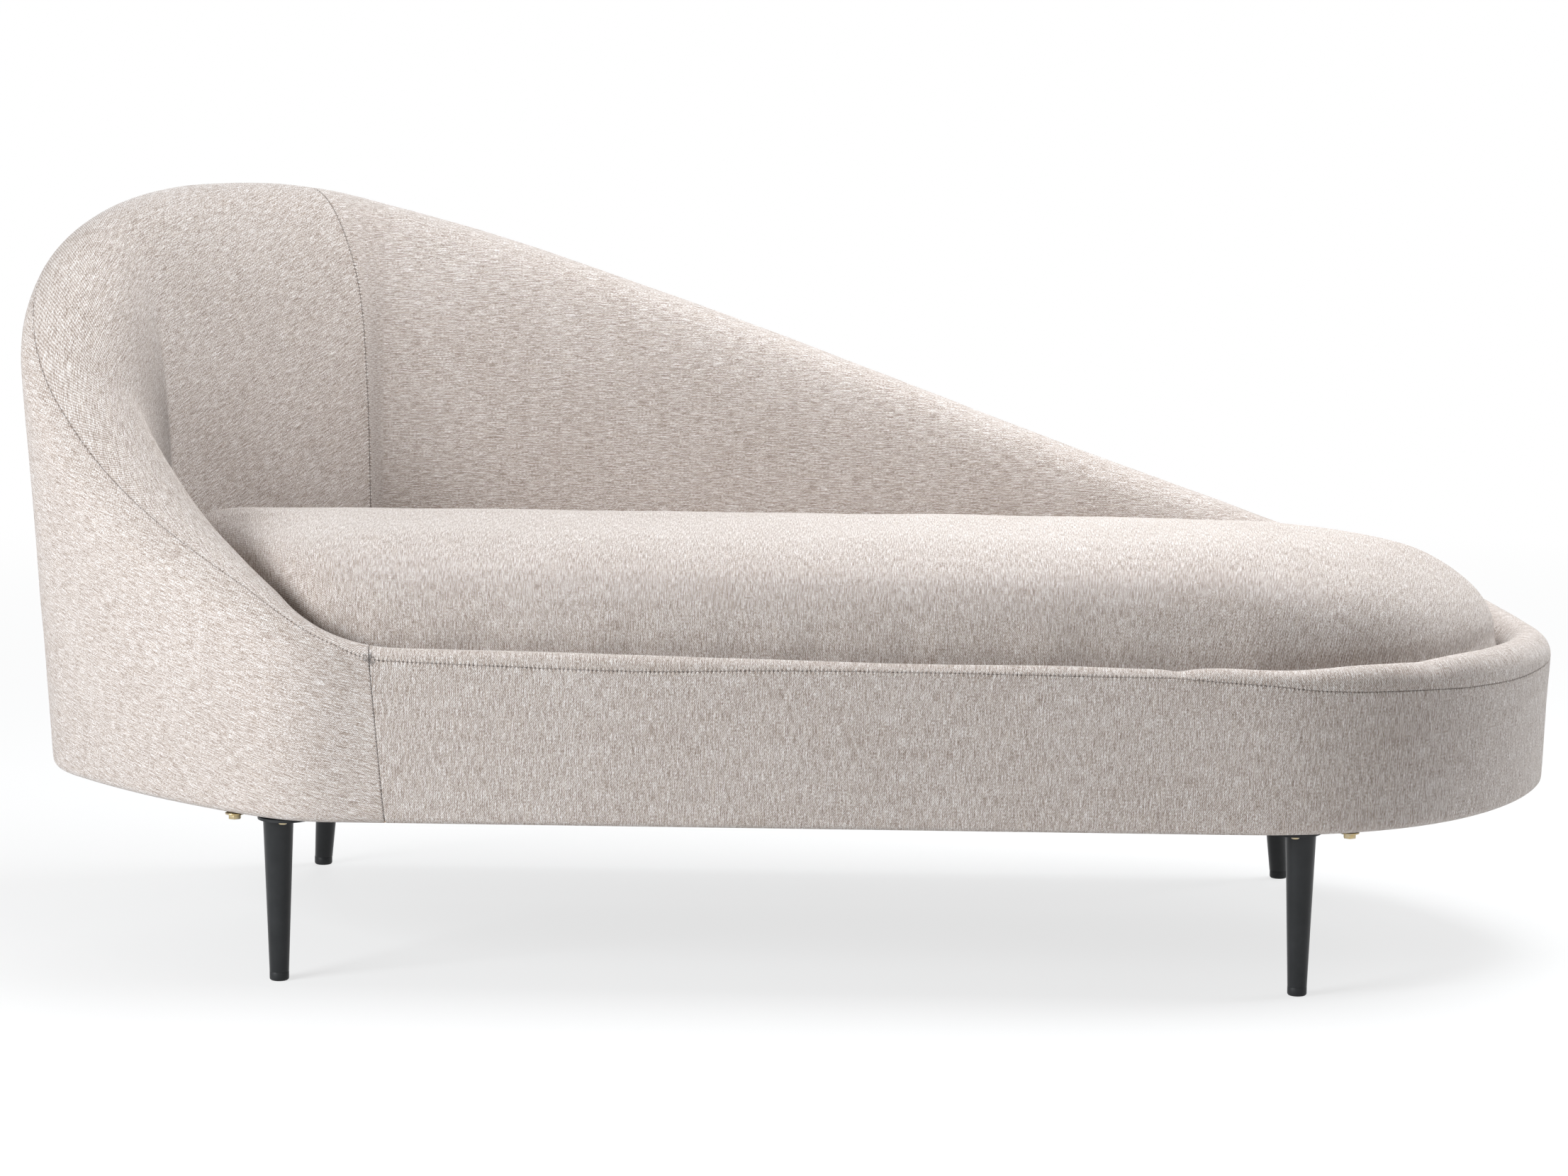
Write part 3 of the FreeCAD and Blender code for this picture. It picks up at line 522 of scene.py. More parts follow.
class Outline:
    """The closed plan line of the underside, walked clockwise from the side seam."""

    BODY_LENGTH = 1.736
    BODY_DEPTH = 0.694
    SEAM_X = -0.460
    HEAD = EndCurve(0.150, 33.3, 18.9, 0.152)
    FOOT = EndCurve(0.348, 49.9, 25.2, 0.150)
    STEP = 0.001

    def __init__(self) -> None:
        """Walk the line in small steps and keep its points."""
        half = self.BODY_DEPTH / 2
        self.head_x = self.HEAD.reach(half) - self.BODY_LENGTH / 2
        self.foot_x = self.BODY_LENGTH / 2 - self.FOOT.reach(half)
        moves: list[tuple[float, float]] = [(math.inf, self.SEAM_X - self.head_x)]
        moves += [(radius, radius * math.radians(turn)) for radius, turn in self.HEAD.arcs(half)]
        moves += [(math.inf, self.foot_x - self.head_x)]
        moves += [(radius, radius * math.radians(turn)) for radius, turn in self.FOOT.arcs(half)]
        moves += [(math.inf, self.foot_x - self.SEAM_X)]
        ends = np.cumsum([length for _, length in moves])
        self.length = float(ends[-1])
        self.head_start, self.head_nose, self.back_start = ends[0], ends[3], ends[6]
        self.foot_start, self.foot_nose, self.front_start = ends[7], ends[10], ends[13]
        count = math.ceil(self.length / self.STEP)
        self.places = np.linspace(0.0, self.length, count + 1)
        starts = np.concatenate([[0.0], ends[:-1]])
        turned = np.zeros(count + 1)
        for (radius, length), start in zip(moves, starts):
            turned += np.clip(self.places - start, 0.0, length) / radius
        self.heading = -math.pi / 2 - turned
        step = self.places[1]
        middle = (self.heading[1:] + self.heading[:-1]) / 2
        self.x = self.SEAM_X + np.concatenate([[0.0], np.cumsum(np.sin(middle)) * step])
        self.y = -half + np.concatenate([[0.0], np.cumsum(-np.cos(middle)) * step])

    def at(self, distance: np.ndarray) -> PlanPoint:
        """Return the points and outward directions at distances along the line."""
        wrapped = np.mod(distance, self.length)
        heading = np.interp(wrapped, self.places, self.heading)
        return PlanPoint(np.interp(wrapped, self.places, self.x),
                         np.interp(wrapped, self.places, self.y),
                         np.cos(heading), np.sin(heading))


class SmoothLine:
    """A value that changes gently along the closed wall, kept as a fine table."""

    STEP = 0.002

    def __init__(self, knots: Sequence[tuple[float, float]], length: float,
                 soften: float) -> None:
        """Draw a curve through the knots and average it over a short stretch.

        Args:
            knots: Places along the wall with the value at each, in order.
            length: The length of the closed wall.
            soften: Half the stretch that each value is averaged over.
        """
        count = round(length / self.STEP)
        self.places = np.linspace(0.0, length, count, endpoint=False)
        self.length = length
        values = self.through(np.array(knots, float), self.places)
        reach = max(1, round(soften / self.STEP))
        weights = np.hanning(2 * reach + 3)[1:-1]
        around = np.concatenate([values[-reach:], values, values[:reach]])
        self.values = np.convolve(around, weights / weights.sum(), "valid")

    @staticmethod
    def through(knots: np.ndarray, places: np.ndarray) -> np.ndarray:
        """Return the values of a curve through knots that never overshoots them."""
        at, values = knots[:, 0], knots[:, 1]
        steps = np.diff(at)
        slopes = np.diff(values) / steps
        tangents = np.zeros(len(at))
        tangents[0], tangents[-1] = slopes[0], slopes[-1]
        for index in range(1, len(at) - 1):
            before, after = slopes[index - 1], slopes[index]
            if before * after > 0:
                first = 2 * steps[index] + steps[index - 1]
                second = steps[index] + 2 * steps[index - 1]
                tangents[index] = (first + second) / (first / before + second / after)
        index = np.clip(np.searchsorted(at, places, "right") - 1, 0, len(steps) - 1)
        part = np.clip((places - at[index]) / steps[index], 0.0, 1.0)
        return ((2 * part**3 - 3 * part**2 + 1) * values[index]
                + (part**3 - 2 * part**2 + part) * steps[index] * tangents[index]
                + (3 * part**2 - 2 * part**3) * values[index + 1]
                + (part**3 - part**2) * steps[index] * tangents[index + 1])

    def at(self, distance: np.ndarray) -> np.ndarray:
        """Return the values at distances along the wall."""
        return np.interp(distance, self.places, self.values, period=self.length)


class Row(NamedTuple):
    """One row of a wall panel: its points and normals in the upright section."""

    out: np.ndarray
    rise: np.ndarray
    normal_out: np.ndarray
    normal_rise: np.ndarray


class Wall:
    """The padded wall: how high, thick and slanted it is at each distance along its line."""

    UNDERSIDE = 0.188
    HEAD_RISES = (0.211, 0.254, 0.294, 0.336, 0.392, 0.466, 0.563, 0.630, 0.658, 0.666, 0.663,
                  0.652, 0.633)
    BACK_BEND = (0.126, 0.598)
    FOOT_RISES = (0.287, 0.257, 0.236, 0.220, 0.202, 0.187, 0.180, 0.181, 0.184, 0.186, 0.186,
                  0.185, 0.184)
    FRONT_RISE = 0.189
    SEAM_RISE = 0.197
    HEAD_ROLLS = (0.047, 0.069, 0.096, 0.117, 0.128, 0.130, 0.129, 0.129, 0.128, 0.127, 0.123,
                  0.116, 0.110)
    FOOT_ROLLS = (0.082, 0.073, 0.066, 0.061, 0.056, 0.053, 0.052, 0.051, 0.048, 0.044, 0.038,
                  0.032, 0.027)
    FRONT_ROLL = 0.024
    SEAM_ROLL = 0.030
    HIGH_DRAFT = 3.8
    RIM_DRAFT = 2.5
    LEAN = 8.0
    SEAT_CREASE = 0.242
    RIM_CREASE = 0.080
    HEM = 0.030
    SEAM_ANGLE = 36.0
    EDGE_RADIUS = 0.011
    FACE_END = 0.014
    TUCK_RISE = 0.074
    WADDING = 0.005
    SEAM_DROPS = ((0.0, 0.007), (0.06, -0.006), (0.15, -0.016), (0.28, -0.017), (0.42, -0.010),
                  (0.60, -0.003), (1.10, -0.002), (2.10, 0.0),
                  (2.50, 0.016), (2.74, 0.022), (2.85, 0.026), (2.93, 0.025), (3.00, 0.022),
                  (3.10, 0.018), (3.14, 0.015), (3.18, 0.010), (3.24, 0.006), (3.30, 0.003),
                  (3.42, 0.003), (3.72, 0.006), (3.88, 0.011), (4.17, 0.007))
    FRAME_LOW = 0.014
    FRAME_HIGH = 0.040
    SOFTEN = 0.045
    SIDE_SEAM_SLANT = 0.085
    SIDE_SEAM_PIVOT = 0.200
    SIDE_SEAM_REACH = 0.24
    INSIDE_SEAM = 0.090
    INSIDE_SEAM_LEAN = 0.024
    INSIDE_SEAM_LOW = 0.50
    INSIDE_SEAM_TOP = 0.65
    INSIDE_SEAM_REACH = 0.22
    BOWL = 34.0

    def __init__(self, outline: Outline, shift: Vector) -> None:
        """Set the wall's values along the outline.

        Args:
            outline: The plan line of the underside.
            shift: Where the middle of the underside lies in the part's frame.
        """
        self.outline = outline
        self.shift = shift
        step = (outline.back_start - outline.head_start) / 6
        foot_step = (outline.front_start - outline.foot_start) / 6
        middle = (outline.front_start + outline.length) / 2
        bend = [(outline.back_start + self.BACK_BEND[0], self.BACK_BEND[1])]
        self.rise = self.line(self.SEAM_RISE, self.HEAD_RISES, bend, self.FOOT_RISES,
                              self.FRONT_RISE, middle)
        self.roll = self.line(self.SEAM_ROLL, self.HEAD_ROLLS, [], self.FOOT_ROLLS,
                              self.FRONT_ROLL, middle)
        self.draft = self.knots([(0.0, self.RIM_DRAFT), (outline.head_start, self.HIGH_DRAFT),
                                 (outline.foot_start - foot_step, self.HIGH_DRAFT),
                                 (outline.foot_start, self.RIM_DRAFT)])
        self.lean = self.knots([(outline.head_start, self.RIM_DRAFT),
                                (outline.head_start + step, self.LEAN),
                                (outline.foot_start, self.LEAN),
                                (outline.foot_start + foot_step, self.RIM_DRAFT)])
        self.crease = self.knots([(0.0, self.RIM_CREASE),
                                  (outline.head_start, self.RIM_CREASE + self.HEM),
                                  (outline.head_start + step, self.SEAT_CREASE),
                                  (outline.foot_start - foot_step, self.SEAT_CREASE),
                                  (outline.foot_start + foot_step, self.RIM_CREASE)])
        self.frame = self.knots([(outline.head_start, self.FRAME_LOW),
                                 (outline.head_start + step, self.FRAME_HIGH),
                                 (outline.foot_start - 0.002, self.FRAME_HIGH),
                                 (outline.foot_start, self.FRAME_LOW)], 0.002)
        self.seam_drop = SmoothLine(self.SEAM_DROPS, outline.length, 0.02)

    def line(self, seam: float, head: Sequence[float], bend: list[tuple[float, float]],
             foot: Sequence[float], front: float, middle: float) -> SmoothLine:
        """Return one value all along the wall, from its values along each stretch."""
        walk = self.outline
        made = [(0.0, seam)]
        made += zip(np.linspace(walk.head_start, walk.back_start, len(head)), head)
        made += bend
        made += zip(np.linspace(walk.foot_start, walk.front_start, len(foot)), foot)
        return SmoothLine(made + [(middle, front), (walk.length, seam)], walk.length, self.SOFTEN)

    def knots(self, made: list[tuple[float, float]], soften: float = SOFTEN) -> SmoothLine:
        """Return a value that is level before its first knot and after its last."""
        length = self.outline.length
        before = [] if made[0][0] == 0.0 else [(0.0, made[0][1])]
        return SmoothLine(before + made + [(length, made[-1][1])], length, soften)

    def leaned(self, s: np.ndarray, rise: np.ndarray, side: Side) -> np.ndarray:
        """Return distances moved so that the upright seams lean with the height."""
        from_seam = np.minimum(np.abs(s), np.abs(self.outline.length - s))
        lean = self.SIDE_SEAM_SLANT * (rise - self.SIDE_SEAM_PIVOT)
        moved = s + lean * fall_off(from_seam, self.SIDE_SEAM_REACH)
        if side is Side.OUTER:
            return moved
        above = (rise - self.INSIDE_SEAM_LOW) / (self.INSIDE_SEAM_TOP - self.INSIDE_SEAM_LOW)
        top = np.clip(above, 0.0, 1.0)
        from_seam = np.abs(s - self.outline.back_start + self.INSIDE_SEAM)
        ease = fall_off(from_seam, self.INSIDE_SEAM_REACH)
        return moved - self.INSIDE_SEAM_LEAN * top * top * ease

    def centre(self, s: np.ndarray) -> tuple[np.ndarray, np.ndarray, np.ndarray]:
        """Return the roll's centre, out and up, and its radius."""
        radius = self.roll.at(s) / 2
        draft = np.radians(self.draft.at(s))
        rise = self.rise.at(s) - radius
        return (rise * np.sin(draft) - radius) / np.cos(draft), rise, radius

    def on_roll(self, s: np.ndarray, angle: np.ndarray) -> Row:
        """Return a row on the roll at angles in radians."""
        out, rise, radius = self.centre(s)
        return Row(out + radius * np.cos(angle), rise + radius * np.sin(angle),
                   np.cos(angle), np.sin(angle))

    def seam_travel(self, s: np.ndarray) -> np.ndarray:
        """Return how far the top seam lies over the surface from where the roll begins."""
        _, _, radius = self.centre(s)
        turn = math.radians(self.SEAM_ANGLE) + np.radians(self.draft.at(s))
        return radius * turn - self.seam_drop.at(s)

    def over(self, s: np.ndarray, travel: np.ndarray) -> Row:
        """Return a row at a travel over the surface from where the roll begins, up and over."""
        draft = np.radians(self.draft.at(s))
        _, _, radius = self.centre(s)
        row = self.on_roll(s, np.maximum(travel, 0.0) / radius - draft)
        down = np.minimum(travel, 0.0)
        return Row(row.out + down * np.sin(draft), row.rise + down * np.cos(draft),
                   row.normal_out, row.normal_rise)

    def bowl(self, s: np.ndarray) -> np.ndarray:
        """Return the slant of the inner face where it leaves the roll, in radians."""
        lean = self.lean.at(s)
        share = np.clip((lean - self.RIM_DRAFT) / (self.LEAN - self.RIM_DRAFT), 0.0, 1.0)
        return np.radians(lean + (self.BOWL - lean) * share)

    def roll_end(self, s: np.ndarray) -> np.ndarray:
        """Return the travel at which the roll meets the inner face."""
        _, _, radius = self.centre(s)
        return radius * (math.pi - self.bowl(s) + np.radians(self.draft.at(s)))

    def hem(self, s: np.ndarray, part: float) -> Row:
        """Return a row of the hem under the wall, from its edge to the bottom corner."""
        out, _ = self.corner_centre(s)
        flat = np.zeros_like(s)
        return Row(out - self.HEM * (1 - part), flat, flat, flat - 1)

    def corner_centre(self, s: np.ndarray) -> tuple[np.ndarray, np.ndarray]:
        """Return the centre of the rounded bottom corner, and the draft in radians."""
        draft = np.radians(self.draft.at(s))
        return self.EDGE_RADIUS * (np.tan(draft) - 1 / np.cos(draft)), draft

    def corner(self, s: np.ndarray, part: float) -> Row:
        """Return a row of the rounded bottom corner."""
        out, draft = self.corner_centre(s)
        angle = -math.pi / 2 + (math.pi / 2 - draft) * part
        return Row(out + self.EDGE_RADIUS * np.cos(angle),
                   self.EDGE_RADIUS * (1 + np.sin(angle)), np.cos(angle), np.sin(angle))

    def outer_face(self, s: np.ndarray, part: float) -> Row:
        """Return a row of the outer face, from the bottom corner to the roll."""
        low = self.corner(s, 1.0)
        high = self.over(s, np.minimum(0.0, self.seam_travel(s) - self.FACE_END))
        return self.between(low, high, part)

    @staticmethod
    def between(low: Row, high: Row, part: float) -> Row:
        """Return a row between two, with the second one's normals."""
        return Row(low.out + (high.out - low.out) * part,
                   low.rise + (high.rise - low.rise) * part, high.normal_out, high.normal_rise)

    def inner_top(self, s: np.ndarray) -> Row:
        """Return the row where the roll ends and the inner face begins."""
        return self.on_roll(s, math.pi - self.bowl(s))

    def straight_top(self, s: np.ndarray) -> Row:
        """Return the row where the roll's side is as upright as the wall's lower face."""
        return self.on_roll(s, math.pi - np.radians(self.lean.at(s)))

    def inner_low(self, s: np.ndarray) -> Row:
        """Return the row where the inner face meets the seat."""
        top = self.straight_top(s)
        crease = np.minimum(self.crease.at(s), top.rise - 0.004)
        drop = top.rise - crease
        return Row(top.out - drop * np.tan(np.radians(self.lean.at(s))), crease,
                   top.normal_out, top.normal_rise)

    def seat_line(self, count: int, gap: float) -> np.ndarray:
        """Return points of the plan, each a gap inside the line where the wall meets the seat."""
        s = np.linspace(0.0, self.outline.length, count, endpoint=False)
        plan = self.outline.at(s)
        out = self.inner_low(s).out - gap
        return np.stack([plan.x + out * plan.out_x, plan.y + out * plan.out_y], axis=1)

    def inner_face(self, s: np.ndarray, part: float) -> Row:
        """Return a row of the inner face, from the roll down to the seat."""
        low = self.inner_low(s)
        top = self.inner_top(s)
        bowl = self.bowl(s)
        turn = np.minimum((top.out - low.out) / np.tan(bowl), (top.rise - low.rise) * 0.8)
        bend_out = top.out - turn * np.tan(bowl)
        bend_rise = top.rise - turn
        first, second, third = (1 - part) ** 2, 2 * part * (1 - part), part**2
        out = top.out * first + bend_out * second + low.out * third
        rise = top.rise * first + bend_rise * second + low.rise * third
        slope_out = (bend_out - top.out) * (1 - part) + (low.out - bend_out) * part
        slope_rise = (bend_rise - top.rise) * (1 - part) + (low.rise - bend_rise) * part
        size = np.hypot(slope_out, slope_rise)
        return Row(out, rise, slope_rise / size, -slope_out / size)

    def tuck(self, s: np.ndarray, part: float) -> Row:
        """Return a row of the upright strip that runs down behind the seat."""
        low = self.inner_low(s)
        side = np.ones_like(s)
        return Row(low.out, low.rise + (self.TUCK_RISE - low.rise) * part, -side, 0 * side)

    def frame_side(self, s: np.ndarray) -> list[Row]:
        """Return the rows of the inner panel's hidden side, from the tuck back to the seam."""
        draft = np.radians(self.draft.at(s))
        depth = self.WADDING + self.frame.at(s) + 0.0005
        _, top, radius = self.centre(s)
        made = []
        for rise in (np.full_like(s, self.TUCK_RISE), top):
            out = (rise * np.sin(draft) - depth) / np.cos(draft)
            made.append(Row(out, rise, np.cos(draft), -np.sin(draft)))
        seam = self.seam_travel(s)
        for travel in (np.minimum(0.0, seam), seam):
            made.append(self.lifted(self.over(s, travel), -self.WADDING))
        return made

    @staticmethod
    def lifted(row: Row, amount: Union[float, np.ndarray]) -> Row:
        """Return a row moved along its normals."""
        return Row(row.out + row.normal_out * amount, row.rise + row.normal_rise * amount,
                   row.normal_out, row.normal_rise)

    def points(self, s: np.ndarray, row: Row) -> tuple[np.ndarray, np.ndarray]:
        """Return a row's points and normals in the part's frame.

        Args:
            s: The distances along the wall.
            row: The row's places in the upright section.

        Returns:
            Arrays of points and of normals.
        """
        plan = self.outline.at(s)
        points = np.stack([plan.x + row.out * plan.out_x + self.shift.x,
                           plan.y + row.out * plan.out_y + self.shift.y,
                           self.UNDERSIDE + row.rise], axis=1)
        normals = np.stack([row.normal_out * plan.out_x, row.normal_out * plan.out_y,
                            row.normal_rise], axis=1)
        return points, normals


def softness(points: np.ndarray, scale: float) -> np.ndarray:
    """Return a gentle uneven value between about -1 and 1 at each point."""
    return np.array([noise.noise(Vector(point) * scale) for point in points])


def fall_off(distance: np.ndarray, reach: float) -> np.ndarray:
    """Return 1 at no distance, easing to 0 at the reach."""
    part = np.clip(distance / reach, 0.0, 1.0)
    return (1 - part) ** 2 * (1 + 2 * part)


@dataclass(frozen=True)
class Pull:
    """A soft dent or swell of a panel.

    Attributes:
        place: Its distance along the wall.
        height: Its distance from the roll's seam, measured over the surface.
        along: Its half width along the wall.
        over: Its half width over the surface.
        depth: How far it moves the surface, below 0 for a dent.
        slant: How far its top leans along the wall, for each unit of height.
    """

    place: float
    height: float
    along: float
    over: float
    depth: float
    slant: float = 0.0

    def at(self, s: np.ndarray, height: np.ndarray) -> np.ndarray:
        """Return the move of each point."""
        away = (s - self.place - self.slant * (height - self.height)) / self.along
        up = (height - self.height) / self.over
        return self.depth * np.exp(-(away**2 + up**2))


@dataclass
class WallPanel:
    """One padded panel of the wall, a closed piece with rounded edges at its seams."""

    name: str
    node: str
    side: Side
    start: float
    end: float
    cut: Cut
    fill: float
    face_rows: int = 30
    step: float = 0.011
    groove: float = 0.0012
    thickness: float = 0.0045
    seam_gap: float = 0.0001
    pulls: tuple[Pull, ...] = ()
    unevenness: tuple[tuple[float, float], ...] = ((7.0, 0.0016), (19.0, 0.0006))
    settle: float = 0.05

    EDGE_STEPS = (0.0, 0.0004, 0.0014, 0.003, 0.006)

    def stations(self) -> np.ndarray:
        """Return the distances of the columns, close together at the panel's ends."""
        near = np.array(self.EDGE_STEPS)
        count = round((self.end - self.start) / self.step)
        inner = np.linspace(self.start + 0.011, self.end - 0.011, count)
        return np.concatenate([self.start + near, inner, self.end - near[::-1]])

    def profile(self, wall: Wall) -> tuple[list[Callable[[np.ndarray], Row]],
                                           Callable[[np.ndarray], list[Row]]]:
        """Return the makers of the rows that show and of the hidden rows."""
        near = np.array(self.EDGE_STEPS)
        made: list[Callable[[np.ndarray], Row]] = []

        def roll_row(distance: float) -> Callable[[np.ndarray], Row]:
            """Return a row at a distance over the surface from the seam."""
            return lambda s: wall.over(s, self.from_seam(s, wall, distance))

        def roll_part(part: float) -> Callable[[np.ndarray], Row]:
            """Return a row at a share of the panel's part of the roll."""
            return lambda s: wall.over(s, self.roll_share(s, wall, part))

        if self.side is Side.OUTER:
            made += [lambda s, p=p: wall.hem(s, p) for p in (0.0, 0.5, 0.9)]
            made += [lambda s, p=p: wall.corner(s, p) for p in (0.0, 0.25, 0.5, 0.75, 1.0)]
            parts = np.linspace(0, 1, self.face_rows + 1)[1:]
            made += [lambda s, p=p: wall.outer_face(s, p) for p in parts]
            made += [roll_part(part) for part in (0.25, 0.5, 0.75)]
            made += [roll_row(distance) for distance in near[::-1]]

            def hidden(s: np.ndarray) -> list[Row]:
                """Return the rows behind, from the seam down to the hem."""
                rows = [wall.over(s, wall.seam_travel(s))]
                rows += [wall.outer_face(s, part) for part in (1.0, 0.66, 0.33)]
                rows += [wall.corner(s, 1.0), wall.corner(s, 0.4), wall.hem(s, 0.9),
                         wall.hem(s, 0.0)]
                return [wall.lifted(row, -self.thickness) for row in rows]

            return made, hidden
        made += [roll_row(distance) for distance in near]
        made += [roll_part(part) for part in np.linspace(0.06, 1.0, 18)]
        parts = np.linspace(0, 1, self.face_rows + 1)[1:]
        made += [lambda s, p=p: wall.inner_face(s, p) for p in parts]
        made += [lambda s, p=p: wall.tuck(s, p) for p in (0.08, 0.3, 0.65, 1.0)]
        return made, wall.frame_side

    def from_seam(self, s: np.ndarray, wall: Wall, distance: float) -> np.ndarray:
        """Return the travel over the roll at a distance from the seam."""
        sign = -1 if self.side is Side.OUTER else 1
        return wall.seam_travel(s) + sign * (distance + self.seam_gap)

    def roll_share(self, s: np.ndarray, wall: Wall, part: float) -> np.ndarray:
        """Return the travel over the roll at a share of the panel's part of it."""
        near = self.from_seam(s, wall, self.EDGE_STEPS[-1])
        if self.side is Side.OUTER:
            low = np.minimum(0.0, wall.seam_travel(s) - wall.FACE_END)
            return low + (near - low) * part
        return near + (wall.roll_end(s) - near) * part

    def build(self, wall: Wall, cloth: bpy.types.Material) -> None:
        """Make the panel on its wall, dress it in the fabric and tie it to the part."""
        stations = self.stations()
        makers, hidden = self.profile(wall)
        rows = []
        places = []
        for maker in makers:
            first = maker(stations)
            moved = wall.leaned(stations, first.rise, self.side)
            rows.append(maker(moved))
            places.append(moved)
        rises = np.array([row.rise for row in rows])
        outs = np.array([row.out for row in rows])
        lengths = np.hypot(np.diff(rises, axis=0), np.diff(outs, axis=0))
        run = np.concatenate([np.zeros((1, len(stations))), np.cumsum(lengths, axis=0)])
        if self.side is Side.OUTER:
            from_seam = run[-1] - run
            upward = run
        else:
            from_seam = run
            upward = run[-1] - run
        to_ends = np.minimum(stations - self.start, self.end - stations)
        shown = []
        for index, row in enumerate(rows):
            points, normals = wall.points(places[index], row)
            edge = np.minimum(from_seam[index], to_ends)
            move = sum(softness(points, scale) * size for scale, size in self.unevenness)
            move = move * np.clip(edge / self.settle, 0.0, 1.0)
            move = move * np.clip((row.rise - wall.EDGE_RADIUS) / self.settle, 0.0, 1.0)
            for pull in self.pulls:
                move = move + pull.at(places[index], from_seam[index])
            move = move - self.rounding(edge)
            shown.append(points + normals * move[:, None])
        behind = [wall.points(stations, row)[0] for row in hidden(stations)]
        loops = np.array(shown + behind)
        obj = self.mesh(loops)
        self.lay_cloth(obj, stations, places, upward, from_seam, to_ends, len(behind))
        finish_soft(obj, cloth)
        tie_fabric(obj, self.node)

    def rounding(self, distance: np.ndarray) -> np.ndarray:
        """Return how far the surface turns in at a distance from its seam."""
        part = np.clip(1 - distance / self.groove, 0.0, 1.0)
        return self.groove * (1 - np.sqrt(1 - part**2))

    def mesh(self, loops: np.ndarray) -> bpy.types.Object:
        """Return the closed mesh through rows of points, with capped ends."""
        rows, columns = loops.shape[:2]
        faces = []
        for row in range(rows):
            faces += band(row * columns, (row + 1) % rows * columns, columns, closed=False)
        first = [row * columns for row in range(rows)]
        faces.append(tuple(first[::-1]))
        faces.append(tuple(index + columns - 1 for index in first))
        return new_object(self.name, loops.reshape(-1, 3), faces)

    def lay_cloth(self, obj: bpy.types.Object, stations: np.ndarray, places: list[np.ndarray],
                  upward: np.ndarray, from_seam: np.ndarray, to_ends: np.ndarray,
                  behind: int) -> None:
        """Give the panel its two maps: the weave, and the distance to the nearest seam."""
        angle = math.radians(self.cut.value)
        along = np.array(places)
        weave_x = along * math.cos(angle) + upward * math.sin(angle)
        weave_y = -along * math.sin(angle) + upward * math.cos(angle)
        nearest = np.minimum(from_seam, to_ends[None, :])
        seam_run = np.where(from_seam <= to_ends[None, :], along, upward)
        pad = ((0, behind), (0, 0))
        maps = {CLOTH_MAP: (np.pad(weave_x, pad, "edge"), np.pad(weave_y, pad, "edge")),
                SEAM_MAP: (np.pad(nearest, pad, "constant", constant_values=0.05),
                           np.pad(seam_run, pad, "edge"))}
        for name, (first, second) in maps.items():
            write_map(obj, name, np.stack([first.ravel(), second.ravel()], axis=1))


def band(low: int, high: int, count: int, closed: bool) -> list[tuple[int, ...]]:
    """Return the faces between two rows of points, which start at the given numbers."""
    return [(low + i, high + i, high + (i + 1) % count, low + (i + 1) % count)
            for i in range(count if closed else count - 1)]


def new_object(name: str, points: np.ndarray, faces: Sequence[Sequence[int]]) -> bpy.types.Object:
    """Return a new object at the origin, with its place in its mesh."""
    mesh = bpy.data.meshes.new(name)
    mesh.from_pydata([tuple(point) for point in points], [], faces)
    mesh.validate()
    mesh.update()
    obj = bpy.data.objects.new(name, mesh)
    bpy.context.scene.collection.objects.link(obj)
    return obj


def write_map(obj: bpy.types.Object, name: str, values: np.ndarray) -> None:
    """Write a UV map from one pair of numbers for each vertex."""
    layer = obj.data.uv_layers.new(name=name)
    corners = np.zeros(len(obj.data.loops), np.int32)
    obj.data.loops.foreach_get("vertex_index", corners)
    layer.data.foreach_set("uv", values[corners].astype(np.float32).ravel())


def nothing_selected() -> None:
    """Deselect every object."""
    for other in bpy.context.view_layer.objects:
        other.select_set(False)


def only(obj: bpy.types.Object) -> None:
    """Select one object alone and make it active."""
    nothing_selected()
    obj.select_set(True)
    bpy.context.view_layer.objects.active = obj


def apply_modifier(obj: bpy.types.Object, kind: str, **settings: Union[float, str, bool]) -> None:
    """Add one modifier, set it and apply it."""
    only(obj)
    made = obj.modifiers.new(kind.lower(), kind)
    for key, value in settings.items():
        setattr(made, key, value)
    bpy.ops.object.modifier_apply(modifier=made.name)


@contextmanager
def editing(obj: bpy.types.Object, chosen: str = "SELECT") -> Iterator[None]:
    """Hold one object in edit mode, with all of it selected or none."""
    only(obj)
    bpy.ops.object.mode_set(mode="EDIT")
    bpy.ops.mesh.select_all(action=chosen)
    yield
    bpy.ops.object.mode_set(mode="OBJECT")


def dress(obj: bpy.types.Object, material: bpy.types.Material, smooth: bool = False) -> None:
    """Give an object one material, and smooth faces where asked."""
    if smooth:
        for face in obj.data.polygons:
            face.use_smooth = True
    obj.data.materials.clear()
    obj.data.materials.append(material)


def finish_soft(obj: bpy.types.Object, cloth: bpy.types.Material) -> None:
    """Smooth a soft piece and give it its cloth."""
    apply_modifier(obj, "SUBSURF", levels=1, render_levels=1)
    dress(obj, cloth, smooth=True)


def tie_fabric(obj: bpy.types.Object, node: str) -> None:
    """Tie a padded fabric cover to the part, in the place of one of its nodes."""
    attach(obj, "root")
    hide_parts(node)
    LOG.info("%s: %d faces", obj.name, len(obj.data.polygons))


